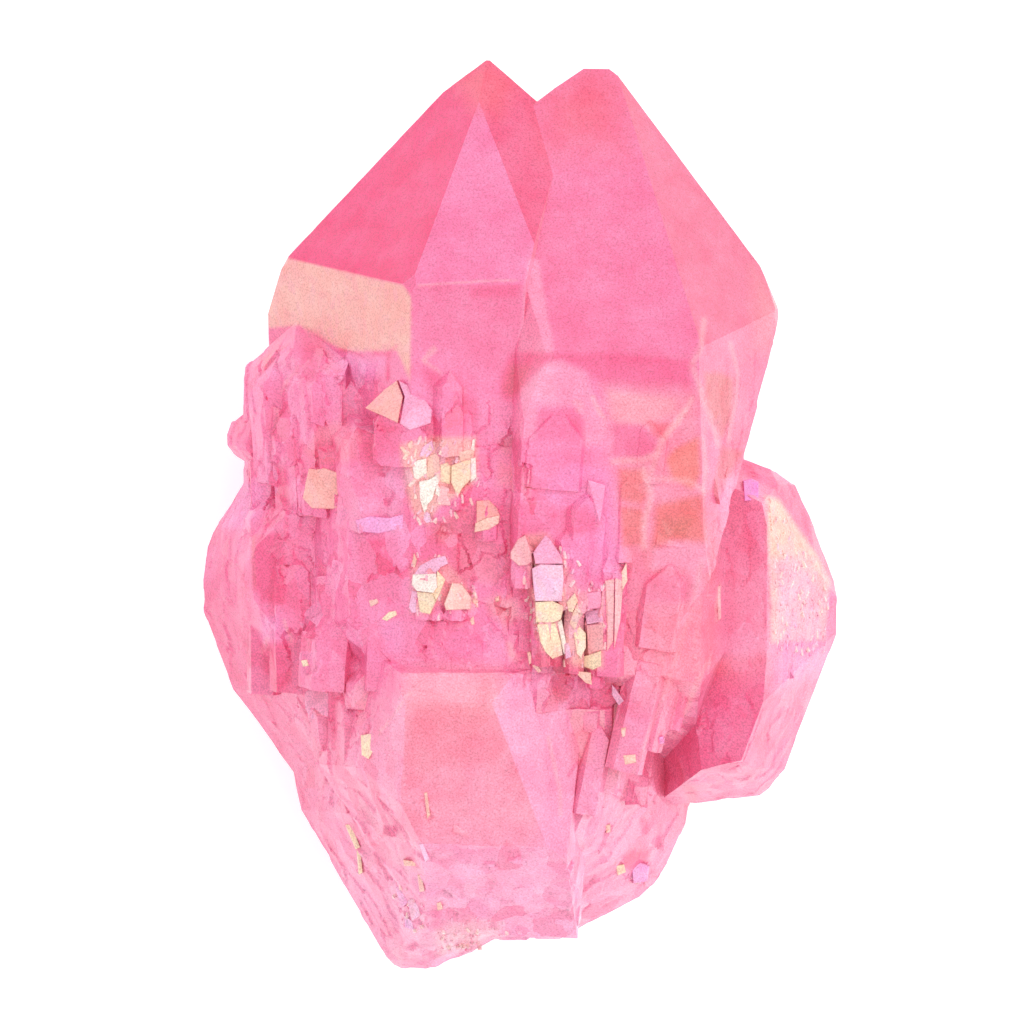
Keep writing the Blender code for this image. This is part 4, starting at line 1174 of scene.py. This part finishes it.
@dataclass
class Growth:
    """Small crystals or broken steps over the body, set and turned by Geometry Nodes."""

    material: bpy.types.Material
    name: str
    shape: SeedShape
    per_mm2: float
    smallest_mm: float
    largest_mm: float
    sunk_share: float
    tilt_deg: tuple[float, float, float]
    seed: int
    where: str = "steps"
    # share of painted glints, ivory and lilac reflections, on the small crystals
    bright: float = 0.0
    kinds: int = 6
    least_upward: float = 0.35

    def build(self, body: bpy.types.Object) -> bpy.types.Object:
        """Grows the crystals on a copy of the body and keeps them as a plain mesh.

        Args:
            body: the body that they grow on.

        Returns:
            The finished object.
        """
        seeds = self._seeds()
        host = add_piece(self.name + "_host", body.data.copy())
        tree = self._tree(seeds)
        grower = host.modifiers.new("growth", "NODES")
        grower.node_group = tree
        sizes = {"Per Square Metre": self.per_mm2 / MM ** 2, "Smallest": self.smallest_mm, "Largest": self.largest_mm,
                 "Sunk Share": self.sunk_share, "Seed": self.seed}
        for item in tree.interface.items_tree:
            if item.item_type == "SOCKET" and item.in_out == "INPUT" and item.name in sizes:
                grower[item.identifier] = sizes[item.name]
        graph = bpy.context.evaluated_depsgraph_get()
        data = bpy.data.meshes.new_from_object(host.evaluated_get(graph))
        data.name = self.name
        host_data = host.data
        bpy.data.objects.remove(host, do_unlink=True)
        bpy.data.meshes.remove(host_data)
        for seed in list(seeds.objects):
            bpy.data.objects.remove(seed, do_unlink=True)
        bpy.data.collections.remove(seeds)
        self._paint(data)
        return add_piece(self.name, data)

    def _seeds(self) -> bpy.types.Collection:
        """Makes the few shapes, about a millimetre long, that are repeated."""
        seeds = bpy.data.collections.new(self.name + "_seeds")
        bpy.context.scene.collection.children.link(seeds)
        chance = np.random.default_rng(self.seed)
        for kind in range(self.kinds):
            mesh = bmesh.new()
            points = self._shard(chance) if self.shape is SeedShape.SHARD else self._point(chance)
            for point in points:
                mesh.verts.new(Vector(point) * MM)
            hull = bmesh.ops.convex_hull(mesh, input=mesh.verts)
            spare = [item for item in hull["geom_interior"] if isinstance(item, bmesh.types.BMVert)]
            bmesh.ops.delete(mesh, geom=spare, context="VERTS")
            bmesh.ops.recalc_face_normals(mesh, faces=mesh.faces)
            data = keep_mesh(mesh, f"{self.name}_seed_{kind}")
            seeds.objects.link(bpy.data.objects.new(data.name, data))
        return seeds

    def _shard(self, chance: np.random.Generator) -> np.ndarray:
        """Gives the corners of an uneven block, longest along Y."""
        corners = chance.uniform(-0.5, 0.5, (9, 3))
        corners = np.sign(corners) * (0.25 + np.abs(corners) * 0.5)
        return corners * np.array([0.62, 1.1, 0.55])

    def _point(self, chance: np.random.Generator) -> list[tuple[float, float, float]]:
        """Gives the corners of a short six-sided crystal whose pointed end looks along Y."""
        corners = [(chance.uniform(-0.05, 0.05), 0.62, chance.uniform(-0.05, 0.05))]
        for side in range(6):
            angle = math.radians(60 * side + chance.uniform(-9, 9))
            radius = chance.uniform(0.20, 0.28)
            across, up = radius * math.cos(angle), radius * math.sin(angle)
            corners.append((across, 0.34 + chance.uniform(-0.06, 0.06), up))
            corners.append((across, -0.5, up))
        return corners

    def _tree(self, seeds: bpy.types.Collection) -> bpy.types.NodeTree:
        """Builds the tree that scatters, sinks, turns and sizes the shapes.

        Args:
            seeds: the shapes to choose from.

        Returns:
            The tree, with its sizes as named inputs.
        """
        tree = bpy.data.node_groups.new(self.name + "_growth", "GeometryNodeTree")
        tree.is_modifier = True
        for name, kind in (("Geometry", "Geometry"), ("Per Square Metre", "Float"), ("Smallest", "Float"),
                           ("Largest", "Float"), ("Sunk Share", "Float"), ("Seed", "Int")):
            tree.interface.new_socket(name, in_out="INPUT", socket_type="NodeSocket" + kind)
        tree.interface.new_socket("Geometry", in_out="OUTPUT", socket_type="NodeSocketGeometry")
        given = add_node(tree, "NodeGroupInput").outputs
        share = add_node(tree, "GeometryNodeInputNamedAttribute", {"data_type": "FLOAT"}, {"Name": self.where})
        density = add_node(tree, "ShaderNodeMath", {"operation": "MULTIPLY"}, {},
                           {0: share.outputs[0], 1: given["Per Square Metre"]})
        normal = add_node(tree, "GeometryNodeInputNormal")
        parts = add_node(tree, "ShaderNodeSeparateXYZ", links={0: normal.outputs[0]})
        upward = add_node(tree, "FunctionNodeCompare", {"data_type": "FLOAT", "operation": "GREATER_THAN"},
                          {"B": self.least_upward}, {"A": parts.outputs["Z"]})
        spread = add_node(tree, "GeometryNodeDistributePointsOnFaces", links={
            "Mesh": given["Geometry"], "Selection": upward.outputs[0], "Density": density.outputs[0],
            "Seed": given["Seed"]})
        size = add_node(tree, "FunctionNodeRandomValue", {"data_type": "FLOAT"}, {}, {
            2: given["Smallest"], 3: given["Largest"], "Seed": given["Seed"]})
        depth = add_node(tree, "ShaderNodeMath", {"operation": "MULTIPLY"}, {},
                         {0: size.outputs[1], 1: given["Sunk Share"]})
        metres = add_node(tree, "ShaderNodeMath", {"operation": "MULTIPLY"}, {1: -MM}, {0: depth.outputs[0]})
        inward = add_node(tree, "ShaderNodeVectorMath", {"operation": "SCALE"}, {}, {
            0: spread.outputs["Normal"], "Scale": metres.outputs[0]})
        sunk = add_node(tree, "GeometryNodeSetPosition", {}, {}, {
            "Geometry": spread.outputs["Points"], "Offset": inward.outputs[0]})
        chance = add_node(tree, "FunctionNodeRandomValue", {"data_type": "FLOAT"}, {2: 0.0, 3: 1.0}, {
            "Seed": given["Seed"]})
        kept = add_node(tree, "GeometryNodeStoreNamedAttribute", {"data_type": "FLOAT", "domain": "POINT"},
                        {"Name": "own"}, {"Geometry": sunk.outputs[0], "Value": chance.outputs[1]})
        limit = [math.radians(angle) for angle in self.tilt_deg]
        turn = add_node(tree, "FunctionNodeRandomValue", {"data_type": "FLOAT_VECTOR"}, {
            0: tuple(-angle for angle in limit), 1: tuple(limit)}, {"Seed": given["Seed"]})
        shapes = add_node(tree, "GeometryNodeCollectionInfo", {}, {
            "Collection": seeds, "Separate Children": True, "Reset Children": True})
        placed = add_node(tree, "GeometryNodeInstanceOnPoints", {}, {"Pick Instance": True}, {
            "Points": kept.outputs[0], "Instance": shapes.outputs[0], "Rotation": turn.outputs[0],
            "Scale": size.outputs[1]})
        real = add_node(tree, "GeometryNodeRealizeInstances", {}, {}, {"Geometry": placed.outputs[0]})
        dressed = add_node(tree, "GeometryNodeSetMaterial", {}, {"Material": self.material},
                           {"Geometry": real.outputs[0]})
        add_node(tree, "NodeGroupOutput", links={"Geometry": dressed.outputs[0]})
        return tree

    def _paint(self, data: bpy.types.Mesh) -> None:
        """Gives each small crystal the hue of the body under it, paler or deeper by its own chance, with painted ivory
        or lilac glints on some.
        """
        vertex = np.empty(len(data.loops), np.int64)
        data.loops.foreach_get("vertex_index", vertex)
        own = np.empty(len(data.vertices))
        data.attributes["own"].data.foreach_get("value", own)
        under = np.empty(len(data.vertices) * 4)
        data.attributes["tint"].data.foreach_get("color", under)
        colours = under.reshape(-1, 4)[:, :3]
        paler = np.clip((own - 0.7) * 0.6, 0, 0.3)[:, None]
        deeper = np.clip((0.25 - own) * 0.7, 0, 0.3)[:, None]
        colours = colours * (1 - paler) + Tint.PALE_VEIN.rgb * paler
        colours = colours * (1 - deeper) + Tint.DEEP_MAGENTA.rgb * deeper
        # painted glints: ivory or lilac reflections on the crystals whose own chance is over 0.45
        painted_glint = np.where(own > 0.45, self.bright, 0.0)[:, None]
        hue = np.where((own > 0.75)[:, None], Tint.IVORY.rgb, Tint.PALE_LILAC.rgb)
        colours = colours * (1 - painted_glint) + hue * painted_glint
        painted_reflections = painted_glint[:, 0]
        for name in ("own", "tint", "film", "jumble", "druse", "steps"):
            if name in data.attributes:
                data.attributes.remove(data.attributes[name])
        store_looks(data, colours[vertex], painted_reflections[vertex], np.full(len(vertex), 0.25))


def read_vectors(items: bpy.types.bpy_prop_collection, name: str) -> np.ndarray:
    """Reads a vector property of all items as rows of three numbers."""
    values = np.empty(len(items) * 3)
    items.foreach_get(name, values)
    return values.reshape(-1, 3)


def store_looks(data: bpy.types.Mesh, colours: np.ndarray, painted_reflections: np.ndarray, jumble: np.ndarray) -> None:
    """Writes what the finish reads onto a mesh's corners.

    Args:
        data: the mesh.
        colours: rows of linear red, green and blue.
        painted_reflections: how strongly the painted iridescent reflection shows, from 0 to 1.
        jumble: how broken the crystal is, from 0 to 1.
    """
    tint = data.color_attributes.new("tint", "FLOAT_COLOR", "CORNER")
    tint.data.foreach_set("color", np.c_[colours, np.ones(len(colours))].ravel())
    for name, values in (("film", painted_reflections), ("jumble", jumble)):
        data.attributes.new(name, "FLOAT", "CORNER").data.foreach_set("value", values)


DRUSE_AREAS: tuple[tuple[Pixel, ...], ...] = (
    ((436, 930), (450, 920), (480, 915), (505, 922), (500, 944), (460, 957), (438, 958)),
    ((394, 886), (412, 884), (424, 905), (424, 930), (404, 932)),
    ((628, 872), (652, 864), (650, 884), (636, 890)),
    ((556, 568), (566, 560), (580, 560), (566, 574)),
    ((404, 440), (480, 436), (482, 500), (440, 528), (416, 522)),
    ((406, 556), (450, 552), (480, 596), (474, 612), (414, 616)),
    ((516, 548), (560, 536), (606, 590), (606, 670), (560, 664), (530, 640)),
    ((766, 500), (800, 540), (828, 590), (822, 660), (772, 650)),
)


@dataclass(frozen=True)
class BrokenArea:
    """A part of the front with its own amount of broken steps, drawn in the photograph's frame."""

    amount: float
    outline: tuple[Pixel, ...]
    soft: float = 14.0

    def weight(self, pixels: np.ndarray) -> np.ndarray:
        """Gives how much the area holds at each pixel, from 0 to 1."""
        return Zone("", Tint.ROSE, self.outline, 1.0, self.soft).weight(pixels)


BROKEN_AREAS: tuple[BrokenArea, ...] = (
    BrokenArea(0.0, ((430, 30), (660, 30), (810, 300), (700, 392), (530, 398), (412, 400), (350, 345), (230, 335))),
    BrokenArea(1.0, ((262, 352), (345, 360), (412, 390), (500, 404), (520, 450), (545, 470), (560, 560), (630, 570),
                     (640, 700), (545, 700), (500, 652), (400, 652), (300, 690), (270, 650), (258, 480))),
    BrokenArea(0.25, ((520, 405), (560, 380), (700, 395), (700, 560), (560, 560))),
    BrokenArea(0.15, ((408, 690), (500, 690), (580, 720), (570, 850), (408, 860))),
    BrokenArea(0.7, ((300, 700), (400, 700), (408, 790), (560, 860), (590, 800), (660, 790), (590, 930), (400, 985),
                     (330, 860))),
    BrokenArea(0.15, ((760, 480), (840, 560), (840, 700), (764, 700))),
)


@dataclass
class Studio:
    """A plain pale floor, soft light from all round and a camera straight above the front."""

    floor_size_mm: float = 1600.0
    floor_colour: str = "#FFFFFF"
    floor_glow: float = 0.30
    floor_roughness: float = 0.9
    floor_gap_mm: float = 0.02
    surround: float = 1.06
    lamp_size_mm: float = 900.0
    lamp_watts: float = 3.2
    lamp_place_mm: tuple[float, float, float] = (420.0, 260.0, 820.0)
    camera_height_mm: float = 800.0
    picture_side: int = 1024
    framed_height_mm: float = 12.0

    def build(self) -> None:
        """Builds the floor, the light and the camera."""
        self._floor()
        self._surround()
        self._lamp()
        self._camera()

    def _floor(self) -> None:
        """Makes the floor that the cluster lies on: a white sheet lit a little from below."""
        mesh = bmesh.new()
        bmesh.ops.create_grid(mesh, x_segments=8, y_segments=8, size=self.floor_size_mm / 2 * MM)
        data = keep_mesh(mesh, "floor")
        floor = add_piece("floor", data)
        floor.location.z = -self.floor_gap_mm * MM
        material = bpy.data.materials.new("white_sheet")
        material.use_nodes = True
        shader = material.node_tree.nodes["Principled BSDF"]
        shader.inputs["Base Color"].default_value = linear(self.floor_colour)
        shader.inputs["Roughness"].default_value = self.floor_roughness
        shader.inputs["Emission Color"].default_value = linear(self.floor_colour)
        shader.inputs["Emission Strength"].default_value = self.floor_glow
        data.materials.append(material)

    def _surround(self) -> None:
        """Lights the scene evenly from all round."""
        world = bpy.data.worlds.new("soft_surround")
        world.use_nodes = True
        background = world.node_tree.nodes["Background"]
        background.inputs["Color"].default_value = linear("#FFFFFF")
        background.inputs["Strength"].default_value = self.surround
        bpy.context.scene.world = world

    def _lamp(self) -> None:
        """Adds one very wide soft lamp at the upper right, so left faces stay deeper and nothing glares."""
        light = bpy.data.lights.new("soft_box", "AREA")
        light.shape = "DISK"
        light.size = self.lamp_size_mm * MM
        light.energy = self.lamp_watts
        lamp = bpy.data.objects.new("soft_box", light)
        lamp.location = Vector(self.lamp_place_mm) * MM
        lamp.rotation_euler = (-lamp.location).to_track_quat("-Z", "Y").to_euler()
        bpy.context.scene.collection.objects.link(lamp)

    def _camera(self) -> None:
        """Hangs a long lens straight above the front, framed as the photograph is."""
        lens = bpy.data.cameras.new("long_lens")
        framed = self.picture_side * PICTURE.pixel_mm
        lens.lens = lens.sensor_width * (self.camera_height_mm - self.framed_height_mm) / framed
        lens.clip_start, lens.clip_end = 0.01, 10.0
        camera = bpy.data.objects.new("long_lens", lens)
        half = self.picture_side / 2
        camera.location = Vector(((half - PICTURE.middle[0]) * PICTURE.pixel_mm,
                                  (PICTURE.middle[1] - half) * PICTURE.pixel_mm, self.camera_height_mm)) * MM
        bpy.context.scene.collection.objects.link(camera)
        bpy.context.scene.camera = camera


def hand_over(piece: bpy.types.Object) -> None:
    """Lets a piece move with the cluster's body and reports it."""
    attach(piece, BODY)
    piece.data.calc_loop_triangles()
    log.info("%s: %d triangles", piece.name, len(piece.data.loop_triangles))


def main() -> None:
    """Builds the cluster and its studio, and reports each piece."""
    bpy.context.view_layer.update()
    quartz = CoatedQuartz().build()
    body = CrystalBody(quartz).build()
    hand_over(body)
    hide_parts(NODE)
    hand_over(BrightFacets(quartz, Ground(body.data)).build())
    for growth in (
        Growth(quartz, "broken_steps", SeedShape.SHARD, 0.10, 0.9, 2.4, 0.28, (5, 8, 10), 5),
        # the druse's points carry painted glints
        Growth(quartz, "sugar_druse", SeedShape.POINT, 5.0, 0.18, 0.50, 0.12, (20, 180, 34), 11, where="druse",
               bright=0.5),
    ):
        hand_over(growth.build(body))
    Studio().build()
    bpy.context.scene.view_settings.view_transform = "Standard"


if __name__ == "__main__":
    main()
